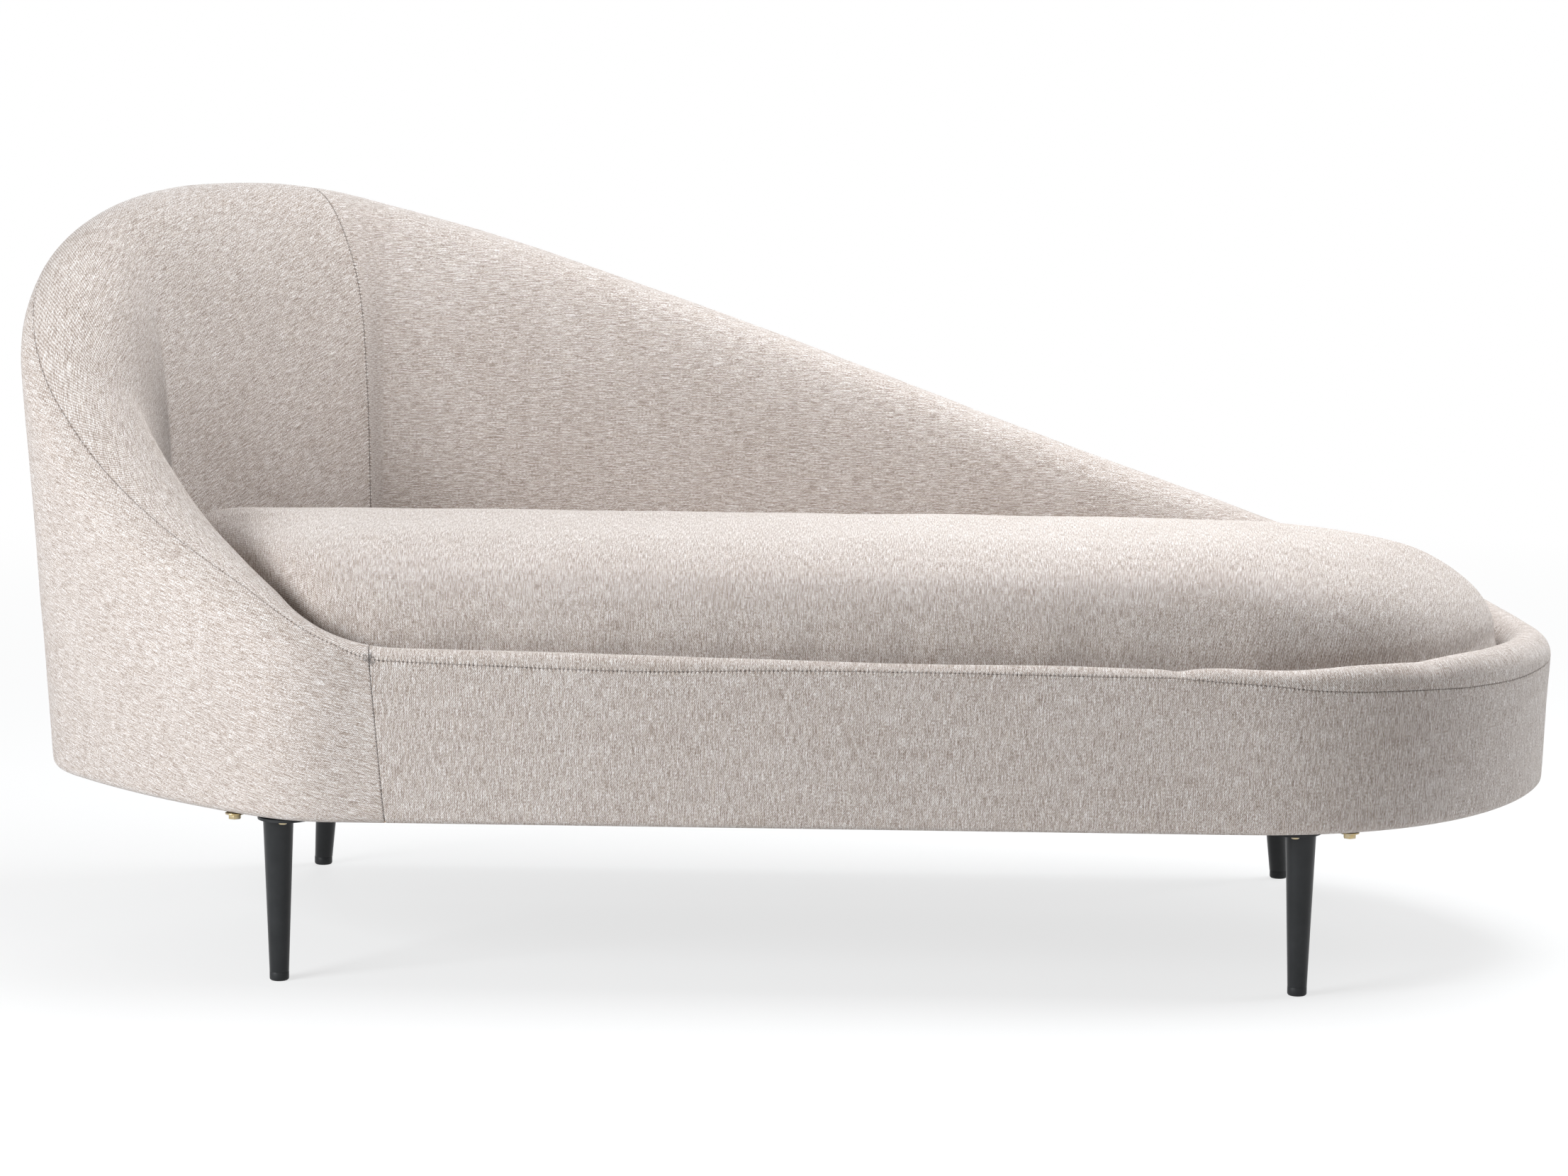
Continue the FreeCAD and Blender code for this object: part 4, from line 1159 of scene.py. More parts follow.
def copies(name: str, one: bpy.types.Object, turns: np.ndarray,
           places: np.ndarray) -> bpy.types.Object:
    """Return one object of a small piece repeated, and remove the small piece.

    Args:
        name: The new object's name.
        one: The piece, drawn about the origin.
        turns: A turning matrix for each copy.
        places: A place for each copy.

    Returns:
        The new object.
    """
    base = read_points(one)
    shapes = [tuple(face.vertices) for face in one.data.polygons]
    bpy.data.objects.remove(one)
    placed = np.einsum("nij,kj->nki", turns, base) + places[:, None, :]
    faces = [tuple(index + len(base) * copy for index in shape)
             for copy in range(len(places)) for shape in shapes]
    return new_object(name, placed.reshape(-1, 3), faces)


RIM_PULLS = (
    Pull(3.285, 0.012, 0.010, 0.020, -0.0035), Pull(3.235, 0.018, 0.032, 0.018, 0.0022),
    Pull(3.150, 0.020, 0.022, 0.016, -0.0012), Pull(3.075, 0.026, 0.040, 0.020, 0.0022),
    Pull(2.985, 0.030, 0.016, 0.022, -0.0026, 0.4), Pull(2.920, 0.028, 0.030, 0.020, 0.0020),
    Pull(3.420, 0.014, 0.060, 0.014, 0.0012), Pull(3.620, 0.014, 0.080, 0.014, -0.0008),
    Pull(3.900, 0.012, 0.070, 0.014, 0.0008),
)


@dataclass
class Upholstery:
    """The six padded panels of the wall and the stitches along their seams."""

    wall: Wall
    cloth: bpy.types.Material
    thread: bpy.types.Material
    stitch_pitch: float = 0.0052
    stitch_length: float = 0.0040
    stitch_depth: float = 0.0008
    thread_radius: float = 0.00042
    end_taper: float = 0.55
    end_sink: float = 1.6
    hidden_seam: float = 0.210

    def panels(self) -> list[WallPanel]:
        """Return the panels in the order that they are sewn on."""
        walk = self.wall.outline
        back, foot, end = walk.back_start, walk.foot_start, walk.length
        turn = back - self.wall.INSIDE_SEAM
        behind = foot + self.hidden_seam
        return [
            WallPanel("head_outer_cover", "head_outer_panel", Side.OUTER, 0.0, back,
                      Cut.RISING, 0.9, 40),
            WallPanel("back_outer_cover", "back_outer_panel", Side.OUTER, back, foot,
                      Cut.LEVEL, 0.9, 36),
            WallPanel("front_outer_cover", "front_outer_panel", Side.OUTER, foot, end,
                      Cut.UPRIGHT, 0.9, 18),
            WallPanel("head_inner_cover", "head_inner_panel", Side.INNER, 0.0, turn,
                      Cut.WRAPPED, 0.9, 26),
            WallPanel("back_inner_cover", "back_inner_panel", Side.INNER, turn, behind,
                      Cut.LEVEL, 0.9, 24),
            WallPanel("front_inner_cover", "front_inner_panel", Side.INNER, behind, end,
                      Cut.UPRIGHT, 0.85, 8, pulls=RIM_PULLS),
        ]

    def build(self) -> None:
        """Make every panel."""
        for panel in self.panels():
            panel.build(self.wall, self.cloth)
        walk = self.wall.outline
        self.stitch("top_seam_stitches", np.arange(0.0, walk.length, self.stitch_pitch),
                    lambda s: self.wall.over(s, self.wall.seam_travel(s)))
        inside = walk.back_start - self.wall.INSIDE_SEAM
        self.stitch_up("inside_seam_stitches", inside, Side.INNER)
        self.stitch_up("side_seam_stitches", 0.0, Side.OUTER)
        self.stitch_up("rear_seam_stitches", walk.back_start, Side.OUTER)

    def stitch(self, name: str, s: np.ndarray, maker: Callable[[np.ndarray], Row]) -> None:
        """Lay stitches end to end along a row of the wall."""
        points, normals = self.wall.points(s, maker(s))
        runs = np.roll(points, -1, axis=0) - np.roll(points, 1, axis=0)
        self.lay(name, points - normals * self.stitch_depth, normals, runs)

    def stitch_up(self, name: str, place: float, side: Side) -> None:
        """Lay stitches up one seam that crosses the wall."""
        wall = self.wall
        at = np.array([place])
        if side is Side.INNER:
            makers = [lambda s, t=travel: wall.over(s, t)
                      for travel in np.arange(wall.seam_travel(at)[0] + 0.004,
                                              wall.roll_end(at)[0], self.stitch_pitch)]
            drop = wall.inner_top(at).rise - wall.inner_low(at).rise
            makers += [lambda s, p=part: wall.inner_face(s, p)
                       for part in np.arange(0.0, 1.0, self.stitch_pitch / drop[0])]
        else:
            makers = [lambda s, p=part: wall.outer_face(s, p)
                      for part in np.arange(0.02, 1.0, self.stitch_pitch / wall.centre(at)[1][0])]
        pairs = []
        for maker in makers:
            moved = wall.leaned(at, maker(at).rise, side)
            pairs.append(wall.points(moved, maker(moved)))
        points = np.array([pair[0][0] for pair in pairs])
        normals = np.array([pair[1][0] for pair in pairs])
        self.lay(name, points - normals * self.stitch_depth, normals, np.gradient(points, axis=0))

    def lay(self, name: str, points: np.ndarray, normals: np.ndarray, runs: np.ndarray) -> None:
        """Copy one stitch to every point, turned along the seam."""
        along = runs / np.linalg.norm(runs, axis=1, keepdims=True)
        side = np.cross(normals, along)
        side /= np.linalg.norm(side, axis=1, keepdims=True)
        lift = np.cross(along, side)
        obj = copies(name, self.one_stitch(), np.stack([along, side, lift], axis=2), points)
        dress(obj, self.thread, smooth=True)
        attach(obj, "root")
        LOG.info("%s: %d stitches", name, len(points))

    def one_stitch(self) -> bpy.types.Object:
        """Return one short stitch, lying along X and thin at both ends."""
        nothing_selected()
        bpy.ops.mesh.primitive_cylinder_add(vertices=6, radius=self.thread_radius,
                                            depth=self.stitch_length, end_fill_type="TRIFAN",
                                            rotation=(0.0, math.pi / 2, 0.0))
        obj = bpy.context.object
        bpy.ops.object.transform_apply(rotation=True)
        with editing(obj):
            bpy.ops.mesh.subdivide(number_cuts=1)
        points = read_points(obj)
        part = np.abs(points[:, 0]) / (self.stitch_length / 2)
        points[:, 1:] *= (1 - self.end_taper * part**3)[:, None]
        points[:, 2] -= part**2 * self.thread_radius * self.end_sink
        write_points(obj, points)
        return obj


@dataclass
class SeatCushion:
    """The crowned seat cushion, which fills the space inside the wall."""

    wall: Wall
    cloth: bpy.types.Material
    bottom: float = 0.288
    crown: float = 0.4935
    side_gap: float = 0.003
    spine_head: float = -0.470
    spine_foot: float = 0.300
    voxel: float = 0.007
    cap: float = 0.005
    head_tightness: float = 0.45
    back_fall: float = 0.038
    fall_reach: float = 0.26
    end_ease: float = 0.35
    gather_height: float = 0.385
    gather_reach: float = 0.05
    gather_depth: float = 0.0035
    unevenness: float = 0.0015

    SWELL_FRAMES = 20
    LEVELS = ((0.206, 0.003, 0.003), (0.160, 0.001, 0.003), (0.116, 0.0, 0.004),
              (0.092, 0.001, 0.013), (0.074, 0.003, 0.026), (0.057, 0.007, 0.046),
              (0.044, 0.013, 0.067), (0.032, 0.021, 0.096), (0.023, 0.032, 0.127),
              (0.014, 0.049, 0.174), (0.008, 0.070, 0.225), (0.003, 0.110, 0.300),
              (0.001, 0.170, 0.390))

    def plan(self, count: int) -> np.ndarray:
        """Return points of the cushion's plan."""
        return self.wall.seat_line(count, self.side_gap)

    def rings(self, plan: np.ndarray) -> np.ndarray:
        """Return the rings of points from the bottom to the crown."""
        middle = (plan[:, 1].max() + plan[:, 1].min()) / 2
        knots = np.array(self.LEVELS)
        steps = np.hypot(np.diff(knots[:, 0]), np.diff(knots[:, 1] + knots[:, 2] * 0.3))
        run = np.concatenate([[0.0], np.cumsum(steps)])
        fine = np.linspace(0.0, run[-1], 48)
        levels = [SmoothLine.through(np.stack([run, knots[:, i]], axis=1), fine)
                  for i in range(3)]
        near_x = np.clip(plan[:, 0], self.spine_head, self.spine_foot)
        to_spine = np.stack([near_x - plan[:, 0], middle - plan[:, 1]], axis=1)
        room = np.linalg.norm(to_spine, axis=1)
        past = np.clip((plan[:, 0] - self.spine_foot) / (plan[:, 0].max() - self.spine_foot), 0, 1)
        head = np.clip((self.spine_head + 0.10 - plan[:, 0]) / 0.2, 0.0, 1.0)
        tight = 1 - self.head_tightness * head * head * (3 - 2 * head)
        made = []
        for drop, side, foot in zip(*levels):
            share = (side * tight + (foot - side) * past**2) / room
            flat = plan + to_spine * share[:, None]
            made.append(np.column_stack([flat, self.crown - drop - self.fall(flat, middle, drop)]))
        top = made[-1]
        for part in (0.25, 0.5, 0.75, 0.97):
            flat = top[:, :2] + (plan + to_spine - top[:, :2]) * part
            height = self.crown - self.LEVELS[-1][0] * (1 - part) ** 2
            made.append(np.column_stack([flat, height - self.fall(flat, middle, 0.0)]))
        return np.array(made)

    def fall(self, flat: np.ndarray, middle: float, drop: float) -> np.ndarray:
        """Return how far the crown falls towards the back wall."""
        part = np.clip((flat[:, 1] - middle + 0.03) / self.fall_reach, 0.0, 1.0)
        return self.back_fall * part**1.3 * max(0.0, 1 - drop / 0.16)

    def shape(self) -> bpy.types.Object:
        """Return the cushion's smooth closed form."""
        rings = self.rings(self.plan(480))
        rings[:, :, 0] += self.wall.shift.x
        rings[:, :, 1] += self.wall.shift.y
        count, around = rings.shape[:2]
        faces = []
        for ring in range(count - 1):
            faces += band(ring * around, (ring + 1) * around, around, closed=True)
        faces.append(tuple(range(around)))
        faces.append(tuple(range(count * around - 1, (count - 1) * around - 1, -1)))
        return new_object("seat_form", rings.reshape(-1, 3), faces)

    def build(self) -> None:
        """Make the cushion, swell its cloth and tie it to the part."""
        form = self.shape()
        skin = form.copy()
        skin.data = form.data.copy()
        skin.name = "seat_cushion_cover"
        bpy.context.scene.collection.objects.link(skin)
        only(skin)
        skin.data.remesh_voxel_size = self.voxel
        bpy.ops.object.voxel_remesh()
        apply_modifier(skin, "SHRINKWRAP", target=form, wrap_method="NEAREST_SURFACEPOINT")
        self.swell(skin)
        bpy.data.objects.remove(form)
        self.gather(skin)
        finish_soft(skin, self.cloth)
        self.lay_cloth(skin)
        tie_fabric(skin, "seat_cushion")

    def swell(self, skin: bpy.types.Object) -> None:
        """Let the cloth swell under the pressure of its filling and keep a capped move."""
        start = read_points(skin)
        hold = skin.vertex_groups.new(name="hold")
        low = [int(i) for i in np.nonzero(start[:, 2] < self.bottom + 0.06)[0]]
        hold.add(low, 1.0, "REPLACE")
        only(skin)
        cloth = skin.modifiers.new("swell", "CLOTH")
        cloth.settings.use_pressure = True
        cloth.settings.uniform_pressure_force = 4.0
        cloth.settings.effector_weights.gravity = 0.0
        cloth.settings.vertex_group_mass = hold.name
        cloth.settings.quality = 5
        cloth.point_cache.frame_start = 1
        cloth.point_cache.frame_end = self.SWELL_FRAMES
        for frame in range(1, self.SWELL_FRAMES + 1):
            bpy.context.scene.frame_set(frame)
        bpy.ops.object.modifier_apply(modifier=cloth.name)
        moved = read_points(skin) - start
        amount = np.linalg.norm(moved, axis=1, keepdims=True)
        kept = self.cap * np.tanh(amount / self.cap) / np.maximum(amount, 1e-9)
        write_points(skin, start + moved * kept)
        skin.vertex_groups.clear()
        bpy.context.scene.frame_set(1)

    def gather(self, skin: bpy.types.Object) -> None:
        """Draw the cloth into small pulls where it runs down behind the rim."""
        points = read_points(skin)
        normals = read_normals(skin)
        low = fall_off(np.abs(points[:, 2] - self.gather_height), self.gather_reach)
        front = np.clip(-normals[:, 1], 0.0, 1.0)
        wave = softness(points * np.array([1.0, 0.3, 0.15]), 22.0)
        points += normals * (wave * low * front * self.gather_depth)[:, None]
        points += normals * (softness(points, 8.0) * self.unevenness)[:, None]
        write_points(skin, points)

    def lay_cloth(self, skin: bpy.types.Object) -> None:
        """Give the cushion its maps, with the streaks from front to back over the crown."""
        points = read_points(skin) - np.array([self.wall.shift.x, self.wall.shift.y, 0.0])
        plan = self.plan(240)
        middle = (plan[:, 1].max() + plan[:, 1].min()) / 2
        near = np.clip(points[:, 0], self.spine_head, self.spine_foot)
        away = np.stack([points[:, 0] - near, points[:, 1] - middle], axis=1)
        reach = np.maximum(np.linalg.norm(away, axis=1), 1e-6)
        drop = np.maximum(self.crown - points[:, 2], 0.0)
        weave = away * (1 + drop[:, None] / reach[:, None] * np.array([self.end_ease, 1.0]))
        weave[:, 0] += near
        write_map(skin, CLOTH_MAP, weave)
        write_map(skin, SEAM_MAP, np.column_stack([np.full(len(points), 0.05), points[:, 0]]))


def read_points(obj: bpy.types.Object) -> np.ndarray:
    """Return a mesh's points."""
    values = np.zeros(len(obj.data.vertices) * 3)
    obj.data.vertices.foreach_get("co", values)
    return values.reshape(-1, 3)


def read_normals(obj: bpy.types.Object) -> np.ndarray:
    """Return the normals at a mesh's points."""
    obj.data.update()
    return np.array([tuple(vertex.normal) for vertex in obj.data.vertices])


def write_points(obj: bpy.types.Object, points: np.ndarray) -> None:
    """Move a mesh's points."""
    obj.data.vertices.foreach_set("co", points.ravel())
    obj.data.update()


@dataclass
class Underside:
    """The cloth under the body, its staples and the straps and cloth under the seat."""

    wall: Wall
    nodes: dict[str, bpy.types.Object]
    inset: float = 0.022
    thickness: float = 0.0008
    sag: float = 0.0022
    ripple: float = 0.0007
    ripple_scale: float = 9.0
    ring_count: int = 14
    staple_pitch: float = 0.055
    staple_inset: float = 0.029
    staple_size: tuple[float, float, float] = (0.010, 0.0011, 0.0007)
    staple_bevel: float = 0.00025
    strap_bevel: float = 0.0004
    platform_gap: float = 0.003
    platform_inset: float = 0.005
    rim_points: int = 300

    def build(self) -> None:
        """Make the cloths, the staples and the straps."""
        black = Nonwoven("dust_cover_cloth", (0.020, 0.020, 0.021, 1.0)).material()
        pale = Nonwoven("seat_lining", (0.62, 0.60, 0.56, 1.0)).material()
        s = np.linspace(0.0, self.wall.outline.length, self.rim_points, endpoint=False)
        self.cloth("dust_cover_cloth", "dust_cover", self.inside(s, self.inset), self.sag, black,
                   ["base_former_front", "base_former_back"])
        inner = self.wall.seat_line(self.rim_points, self.platform_gap)
        away = inner - (inner.max(axis=0) + inner.min(axis=0)) / 2
        inner += np.array([self.wall.shift.x, self.wall.shift.y])
        inner -= away / np.linalg.norm(away, axis=1, keepdims=True) * self.platform_inset
        self.cloth("seat_platform_lining", "seat_platform_cloth", inner, 0.0, pale,
                   ["seat_frame_front_rail", "seat_frame_back_rail"])
        strap = WovenStrap().material()
        self.straps("webbing_across_straps", "seat_webbing_across", 0, strap)
        self.straps("webbing_along_straps", "seat_webbing_along", 1, strap)
        self.staples()

    def inside(self, s: np.ndarray, inset: float) -> np.ndarray:
        """Return points an inset inside the outline, at distances along it."""
        plan = self.wall.outline.at(s)
        return np.column_stack([plan.x - inset * plan.out_x + self.wall.shift.x,
                                plan.y - inset * plan.out_y + self.wall.shift.y])

    def cloth(self, name: str, node: str, rim: np.ndarray, sag: float,
              material: bpy.types.Material, rests_on: list[str]) -> None:
        """Make one stretched cloth in the place of one of the part's nodes."""
        low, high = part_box(node)
        cloth = self.sheet(name, rim, low.z, sag, material)
        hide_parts(node)

    @staticmethod
    def area(rim: np.ndarray) -> float:
        """Return the area inside a closed line."""
        after = np.roll(rim, -1, axis=0)
        return float(abs(np.sum(rim[:, 0] * after[:, 1] - rim[:, 1] * after[:, 0])) / 2)

    def sheet(self, name: str, rim: np.ndarray, bottom: float, sag: float,
              material: bpy.types.Material) -> bpy.types.Object:
        """Return a thin cloth stretched inside a closed line."""
        middle_y = (rim[:, 1].max() + rim[:, 1].min()) / 2
        half = (rim[:, 1].max() - rim[:, 1].min()) / 2
        near = np.clip(rim[:, 0], rim[:, 0].min() + half, rim[:, 0].max() - half)
        spine = np.column_stack([near, np.full(len(rim), middle_y)])
        rings = []
        for part in np.linspace(0.0, 1.0, self.ring_count):
            flat = rim + (spine - rim) * part
            reach = np.clip((part - 0.3) / 0.7, 0.0, 1.0)
            flat_points = np.column_stack([flat, np.zeros(len(rim))])
            ripple = softness(flat_points, self.ripple_scale) * self.ripple
            drop = sag * reach * reach * (3 - 2 * reach) + ripple * reach * (sag > 0)
            rings.append(np.column_stack([flat, np.full(len(rim), bottom) - drop]))
        around = len(rim)
        faces = []
        for ring in range(len(rings) - 1):
            faces += band((ring + 1) * around, ring * around, around, closed=True)
        obj = new_object(name, np.concatenate(rings), faces)
        with editing(obj):
            bpy.ops.mesh.remove_doubles(threshold=0.0002)
            bpy.ops.mesh.normals_make_consistent(inside=False)
        if obj.data.polygons[0].normal.z > 0:
            obj.data.flip_normals()
        apply_modifier(obj, "SOLIDIFY", thickness=self.thickness, offset=-1.0)
        dress(obj, material)
        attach(obj, "root")
        LOG.info("%s: %d faces", name, len(obj.data.polygons))
        return obj

    def straps(self, name: str, node: str, across: int, material: bpy.types.Material) -> None:
        """Make the woven straps over one set of the part's webbing."""
        obj = self.nodes[node].copy()
        obj.data = self.nodes[node].data.copy()
        obj.name = name
        obj.parent = None
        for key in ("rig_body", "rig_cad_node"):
            del obj[key]
        bpy.context.scene.collection.objects.link(obj)
        with editing(obj):
            bpy.ops.mesh.remove_doubles(threshold=0.00005)
            bpy.ops.mesh.dissolve_limited(angle_limit=math.radians(2.0))
        apply_modifier(obj, "BEVEL", width=self.strap_bevel, segments=2)
        points = read_points(obj)
        order = np.sort(points[:, across])
        gaps = np.nonzero(np.diff(order) > 0.02)[0]
        starts = np.concatenate([[order[0]], order[gaps + 1]])
        ends = np.concatenate([order[gaps], [order[-1]]])
        middles = (starts + ends) / 2
        nearest = middles[np.abs(points[:, across, None] - middles).argmin(axis=1)]
        while obj.data.uv_layers:
            obj.data.uv_layers.remove(obj.data.uv_layers[0])
        write_map(obj, CLOTH_MAP, np.column_stack([points[:, across] - nearest,
                                                   points[:, 1 - across]]))
        dress(obj, material)
        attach(obj, "root")
        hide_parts(node)
        LOG.info("%s: %d faces", name, len(obj.data.polygons))

    def staples(self) -> None:
        """Hold the dust cover with a row of staples along its edge."""
        nothing_selected()
        bpy.ops.mesh.primitive_cube_add(size=1.0)
        one = bpy.context.object
        bpy.ops.transform.resize(value=self.staple_size)
        bpy.ops.object.transform_apply(scale=True)
        apply_modifier(one, "BEVEL", width=self.staple_bevel, segments=2)
        s = np.arange(0.02, self.wall.outline.length, self.staple_pitch)
        plan = self.wall.outline.at(s)
        low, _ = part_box("dust_cover")
        turn = np.zeros((len(s), 3, 3))
        turn[:, 0, 0], turn[:, 1, 0] = plan.out_y, -plan.out_x
        turn[:, 0, 1], turn[:, 1, 1] = plan.out_x, plan.out_y
        turn[:, 2, 2] = 1.0
        rim = self.inside(s, self.staple_inset)
        middle = np.column_stack([rim, np.full(len(s), low.z - 0.0002)])
        obj = copies("dust_cover_staples", one, turn, middle)
        dress(obj, PlatedSteel("staple_steel", (0.60, 0.61, 0.62, 1.0),
                               (0.50, 0.51, 0.53, 1.0)).material())
        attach(obj, "root")
        LOG.info("dust_cover_staples: %d staples", len(s))


@dataclass
class Hardware:
    """The screws of the leg plates, the corner bolts and the rounded glides."""

    screw_diameter: float = 0.0090
    screw_height: float = 0.0026
    screw_circle: float = 0.0240
    bolt_flats: float = 0.0130
    bolt_height: float = 0.0053
    washer_diameter: float = 0.0215
    washer_thickness: float = 0.0016
    slot_size: tuple[float, float] = (0.0010, 0.0022)
    glide_diameter: float = 0.02174
    screw_round: float = 0.0012
    washer_round: float = 0.0003
    edge_round: float = 0.0005
    glide_round: float = 0.0026
    bolts: tuple[tuple[float, float], ...] = ((-0.604, -0.298), (0.633, -0.318),
                                              (-0.604, 0.276), (0.633, 0.286))

    def build(self, nodes: dict[str, bpy.types.Object]) -> None:
        """Make all the fasteners and glides."""
        zinc = PlatedSteel("yellow_zinc").material()
        plastic = SatinBlack("glide_plastic", smooth=0.42, rough=0.55).material()
        low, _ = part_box("leg_plates")
        screws = []
        for middle in islands(nodes["leg_plates"]):
            inward = -math.copysign(1.0, middle.x)
            for x, y in ((0.0, -1.0), (0.0, 1.0), (inward, 0.0)):
                place = (middle.x + x * self.screw_circle, middle.y + y * self.screw_circle,
                         low.z - self.screw_height / 2)
                screws.append(self.screw(place))
        dressed_as_one("leg_plate_screws", screws, zinc)
        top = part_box("dust_cover")[0].z
        dressed_as_one("corner_bolts", [self.bolt(x, y, top) for x, y in self.bolts], zinc)
        glides = [self.glide(middle) for middle in islands(nodes["leg_glides"])]
        caps = dressed_as_one("leg_glide_caps", glides, plastic)
        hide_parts("leg_glides")

    def screw(self, place: tuple[float, float, float]) -> bpy.types.Object:
        """Return one pan head screw with a cross recess, its head down."""
        head = cylinder(32, self.screw_diameter, self.screw_height, place)
        low = place[2] - self.screw_height / 2
        bevel_edges(head, lambda a, b: max(a.z, b.z) < low + 1e-5, self.screw_round, 3)
        for turn in (0.0, math.pi / 2):
            nothing_selected()
            bpy.ops.mesh.primitive_cube_add(size=1.0, location=(place[0], place[1], low),
                                            rotation=(0.0, 0.0, turn))
            slot = bpy.context.object
            slot.scale = (self.screw_diameter * 0.55, *self.slot_size)
            bpy.context.view_layer.update()
            apply_modifier(head, "BOOLEAN", object=slot, operation="DIFFERENCE", solver="EXACT")
            bpy.data.objects.remove(slot)
        return head

    def bolt(self, x: float, y: float, top: float) -> bpy.types.Object:
        """Return one hexagon bolt head with its washer."""
        washer = cylinder(48, self.washer_diameter, self.washer_thickness,
                          (x, y, top - self.washer_thickness / 2))
        bevel_edges(washer, lambda a, b: abs(a.z - b.z) < 1e-6, self.washer_round, 2)
        middle = top - self.washer_thickness - self.bolt_height / 2
        head = cylinder(6, 2 * self.bolt_flats / math.sqrt(3), self.bolt_height, (x, y, middle))
        bevel_edges(head, lambda a, b: True, self.edge_round, 2)
        return joined([washer, head])

    def glide(self, middle: Vector) -> bpy.types.Object:
        """Return one rounded glide under a leg."""
        low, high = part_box("leg_glides")
        glide = cylinder(48, self.glide_diameter, high.z - low.z,
                         (middle.x, middle.y, (high.z + low.z) / 2))
        bevel_edges(glide, lambda a, b: max(a.z, b.z) < 1e-5, self.glide_round, 4)
        bevel_edges(glide, lambda a, b: min(a.z, b.z) > high.z - 1e-5, self.edge_round, 2)
        return glide


def cylinder(sides: int, diameter: float, height: float,
             middle: tuple[float, float, float]) -> bpy.types.Object:
    """Return an upright cylinder about a middle, its points in the scene's frame."""
    nothing_selected()
    bpy.ops.mesh.primitive_cylinder_add(vertices=sides, radius=diameter / 2, depth=height,
                                        location=middle)
    bpy.ops.object.transform_apply(location=True)
    return bpy.context.object


def islands(node: bpy.types.Object) -> list[Vector]:
    """Return the middle of each separate round piece of one of the part's nodes."""
    found: list[list[np.ndarray]] = []
    for point in read_points(node):
        near = [group for group in found if np.linalg.norm(point - group[0]) < ISLAND_REACH]
        if near:
            near[0].append(point)
        else:
            found.append([point])
    return [Vector((np.max(group, axis=0) + np.min(group, axis=0)) / 2) for group in found]


def bevel_edges(obj: bpy.types.Object, chosen: Callable[[Vector, Vector], bool], width: float,
                segments: int) -> None:
    """Bevel the edges whose two ends pass a test."""
    with editing(obj, "DESELECT"):
        bpy.ops.mesh.select_mode(type="EDGE")
    points = obj.data.vertices
    for edge in obj.data.edges:
        edge.select = chosen(points[edge.vertices[0]].co, points[edge.vertices[1]].co)
    bpy.ops.object.mode_set(mode="EDIT")
    bpy.ops.mesh.bevel(offset=width, segments=segments, affect="EDGES")
    bpy.ops.object.mode_set(mode="OBJECT")


def joined(pieces: list[bpy.types.Object]) -> bpy.types.Object:
    """Join pieces into the first one."""
    only(pieces[0])
    for piece in pieces:
        piece.select_set(True)
    bpy.ops.object.join()
    return bpy.context.object


def dressed_as_one(name: str, pieces: list[bpy.types.Object],
                   material: bpy.types.Material) -> bpy.types.Object:
    """Join rigid pieces, smooth them by angle and tie them to the part."""
    obj = joined(pieces)
    obj.name = name
    only(obj)
    bpy.ops.object.shade_smooth_by_angle(angle=math.radians(35.0))
    dress(obj, material)
    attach(obj, "root")
    LOG.info("%s: %d faces", name, len(obj.data.polygons))
    return obj


@dataclass(frozen=True)
class SewingThread:
    """Twisted thread a shade darker than the fabric."""

    name: str = "sewing_thread"
    colour: Colour = (0.48, 0.415, 0.375, 1.0)
    twist: float = 0.0007
    fuzz_scale: float = 1900.0

    def material(self) -> bpy.types.Material:
        """Return the thread as a material."""
        make = NodeMaker(self.name)
        place = make.place()
        x, y, z = make.parts(place)
        ply = make.wave((x + y + z) * (2 * math.pi / self.twist))
        fuzz = make.noise(place, self.fuzz_scale)
        colour = make.shaded(0.5, self.colour, ply * 0.6 + fuzz * 0.4, (0.2, 0.5), 0.8)
        return make.surface(Base_Color=colour, Roughness=make.spread(fuzz, 0.3, 0.7, 0.7, 0.55),
                            Normal=make.bump(ply, 0.0001))


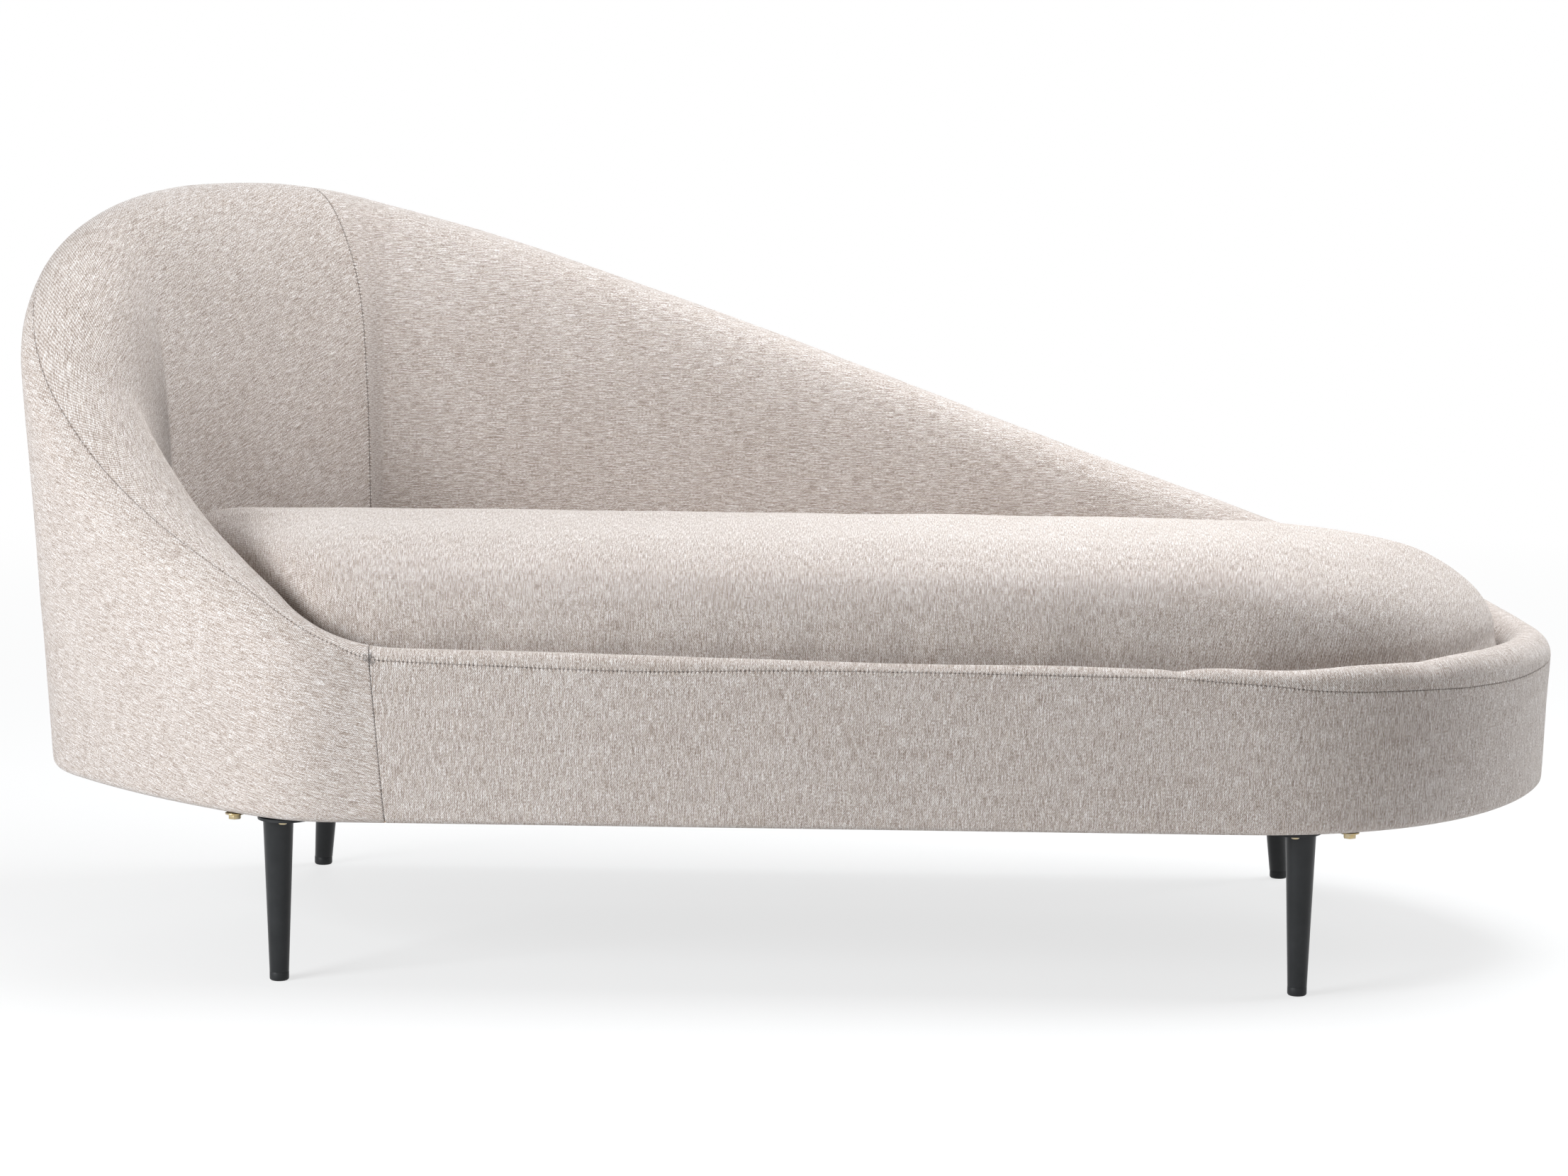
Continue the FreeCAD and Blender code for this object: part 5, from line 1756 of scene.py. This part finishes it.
@dataclass(frozen=True)
class Studio:
    """The floor, the light and the camera at the photograph's viewing angle."""

    lens: float = 109.88
    sensor: float = 36.0
    place: tuple[float, float, float] = (0.1365, -5.5137, 1.2408)
    yaw: float = 0.0251
    pitch: float = 0.1508
    roll: float = 0.0093

    LAMPS = (("key", (-2.6, -2.1, 1.35), (-0.5, -0.1, 0.35), 1.4, 108.0),
             ("top", (0.8, 0.16, 2.3), (0.3, -0.05, 0.4), 1.5, 63.0),
             ("side", (3.3, 1.1, 1.9), (0.0, 0.1, 0.5), 1.4, 40.0),
             ("back", (-0.6, 4.2, 2.4), (0.0, 0.2, 0.4), 2.0, 60.0))
    LAMP_COLOUR = (0.95, 0.98, 1.0)
    EVEN_LIGHT = 0.17

    def build(self) -> None:
        """Make the camera, the floor and the lamps."""
        self.camera()
        self.floor()
        self.world()
        for name, place, aim, size, power in self.LAMPS:
            self.lamp(name, Vector(place), Vector(aim), size, power)
        bpy.context.scene.view_settings.view_transform = "Standard"

    def camera(self) -> None:
        """Stand the camera where the photograph was taken from."""
        forward = Vector((-math.sin(self.yaw) * math.cos(self.pitch),
                          math.cos(self.yaw) * math.cos(self.pitch), -math.sin(self.pitch)))
        level = Vector((math.cos(self.yaw), math.sin(self.yaw), 0.0))
        upright = level.cross(forward)
        side = level * math.cos(self.roll) + upright * math.sin(self.roll)
        up = upright * math.cos(self.roll) - level * math.sin(self.roll)
        data = bpy.data.cameras.new("camera")
        data.lens = self.lens
        data.sensor_width = self.sensor
        data.clip_end = 200.0
        camera = bpy.data.objects.new("camera", data)
        turn = Matrix((side, up, -forward)).transposed().to_4x4()
        camera.matrix_world = Matrix.Translation(self.place) @ turn
        bpy.context.scene.collection.objects.link(camera)
        bpy.context.scene.camera = camera

    @staticmethod
    def floor() -> None:
        """Lay a wide pale floor that keeps the shadow and is clear from below."""
        nothing_selected()
        bpy.ops.mesh.primitive_plane_add(size=120.0)
        floor = bpy.context.object
        floor.name = "floor"
        make = NodeMaker("pale_floor")
        seen = make.signal(make.node("LightPath"), "Is Camera Ray")
        glossy = make.signal(make.node("LightPath"), "Is Glossy Ray")
        passing = make.signal(make.node("LightPath"), "Is Transmission Ray")
        matt = make.signal(make.node("BsdfDiffuse", {}, {"Color": grey(0.86)}))
        glow = make.signal(make.node("Emission", {}, {"Color": grey(1.0), "Strength": 1.0}))
        away = make.signal(make.node("VectorMath", {"operation": "LENGTH"}, {0: make.place()}),
                           "Value")
        white = make.spread(away, 1.0, 3.6, 0.72, 1.0)
        share = make.math("MAXIMUM", make.math("MAXIMUM", seen, glossy), passing) * white
        mixed = make.signal(make.node("MixShader", {}, {0: share, 1: matt, 2: glow}))
        under = make.signal(make.node("NewGeometry"), "Backfacing")
        clear = make.signal(make.node("BsdfTransparent"))
        top = make.signal(make.node("MixShader", {}, {0: under, 1: mixed, 2: clear}))
        make.node("OutputMaterial", {}, {"Surface": top})
        floor.data.materials.append(make.material)

    def world(self) -> None:
        """Give a soft even light, and white where the camera sees past the floor."""
        world = bpy.data.worlds.new("studio")
        world.use_nodes = True
        bpy.context.scene.world = world
        tree = world.node_tree
        back = tree.nodes["Background"]
        back.inputs["Color"].default_value = grey(1.0)
        path = tree.nodes.new("ShaderNodeLightPath")
        spread = tree.nodes.new("ShaderNodeMapRange")
        spread.inputs["To Min"].default_value = self.EVEN_LIGHT
        spread.inputs["To Max"].default_value = 1.0
        most = tree.nodes.new("ShaderNodeMath")
        most.operation = "MAXIMUM"
        tree.links.new(path.outputs["Is Camera Ray"], most.inputs[0])
        tree.links.new(path.outputs["Is Glossy Ray"], most.inputs[1])
        tree.links.new(most.outputs[0], spread.inputs["Value"])
        tree.links.new(spread.outputs[0], back.inputs["Strength"])

    def lamp(self, name: str, place: Vector, aim: Vector, size: float, power: float) -> None:
        """Hang one soft square lamp and turn it to its aim."""
        data = bpy.data.lights.new(name, "AREA")
        data.size = size
        data.energy = power
        data.color = self.LAMP_COLOUR
        lamp = bpy.data.objects.new(name, data)
        lamp.location = place
        lamp.rotation_euler = (aim - place).to_track_quat("-Z", "Y").to_euler()
        bpy.context.scene.collection.objects.link(lamp)


@dataclass
class FrameFinishes:
    """The finishes of the part's own timber, boards, legs and plates."""

    nodes: dict[str, bpy.types.Object]

    def build(self) -> None:
        """Give each of the part's rigid pieces its finish."""
        timber = Timber("softwood_frame").material()
        plywood = Plywood("beech_plywood").material()
        board = Fibreboard().material()
        legs = SatinBlack("leg_lacquer").material()
        steel = SatinBlack("plate_paint", smooth=0.34, rough=0.5).material()
        groups = {
            timber: ("seat_frame_front_rail", "seat_frame_back_rail", "seat_frame_slats",
                     "cross_rails", "rim_blocks", "head_posts", "back_posts"),
            plywood: ("seat_frame_head_bow", "seat_frame_foot_bow", "head_top_rail",
                      "back_top_rail", "foot_board", "front_board", "base_former_head",
                      "base_former_foot", "base_former_front", "base_former_back"),
            board: ("head_outer_skin", "head_inner_skin", "back_outer_skin", "back_inner_skin"),
            legs: ("legs_front", "legs_rear"),
            steel: ("leg_plates",),
        }
        for material, names in groups.items():
            for name in names:
                dress(self.nodes[name], material)
                LOG.info("%s: finished as %s", name, material.name)


def main() -> None:
    """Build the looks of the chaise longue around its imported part."""
    logging.basicConfig(level=logging.INFO, format="%(name)s %(message)s")
    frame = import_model()
    Studio().build()
    low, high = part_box("dust_cover")
    middle = (low + high) / 2
    wall = Wall(Outline(), Vector((middle.x, middle.y, 0.0)))
    cloth = HeatherCloth().material()
    Upholstery(wall, cloth, SewingThread().material()).build()
    SeatCushion(wall, cloth).build()
    Underside(wall, frame["nodes"]).build()
    Hardware().build(frame["nodes"])
    FrameFinishes(frame["nodes"]).build()


if __name__ == "__main__":
    main()
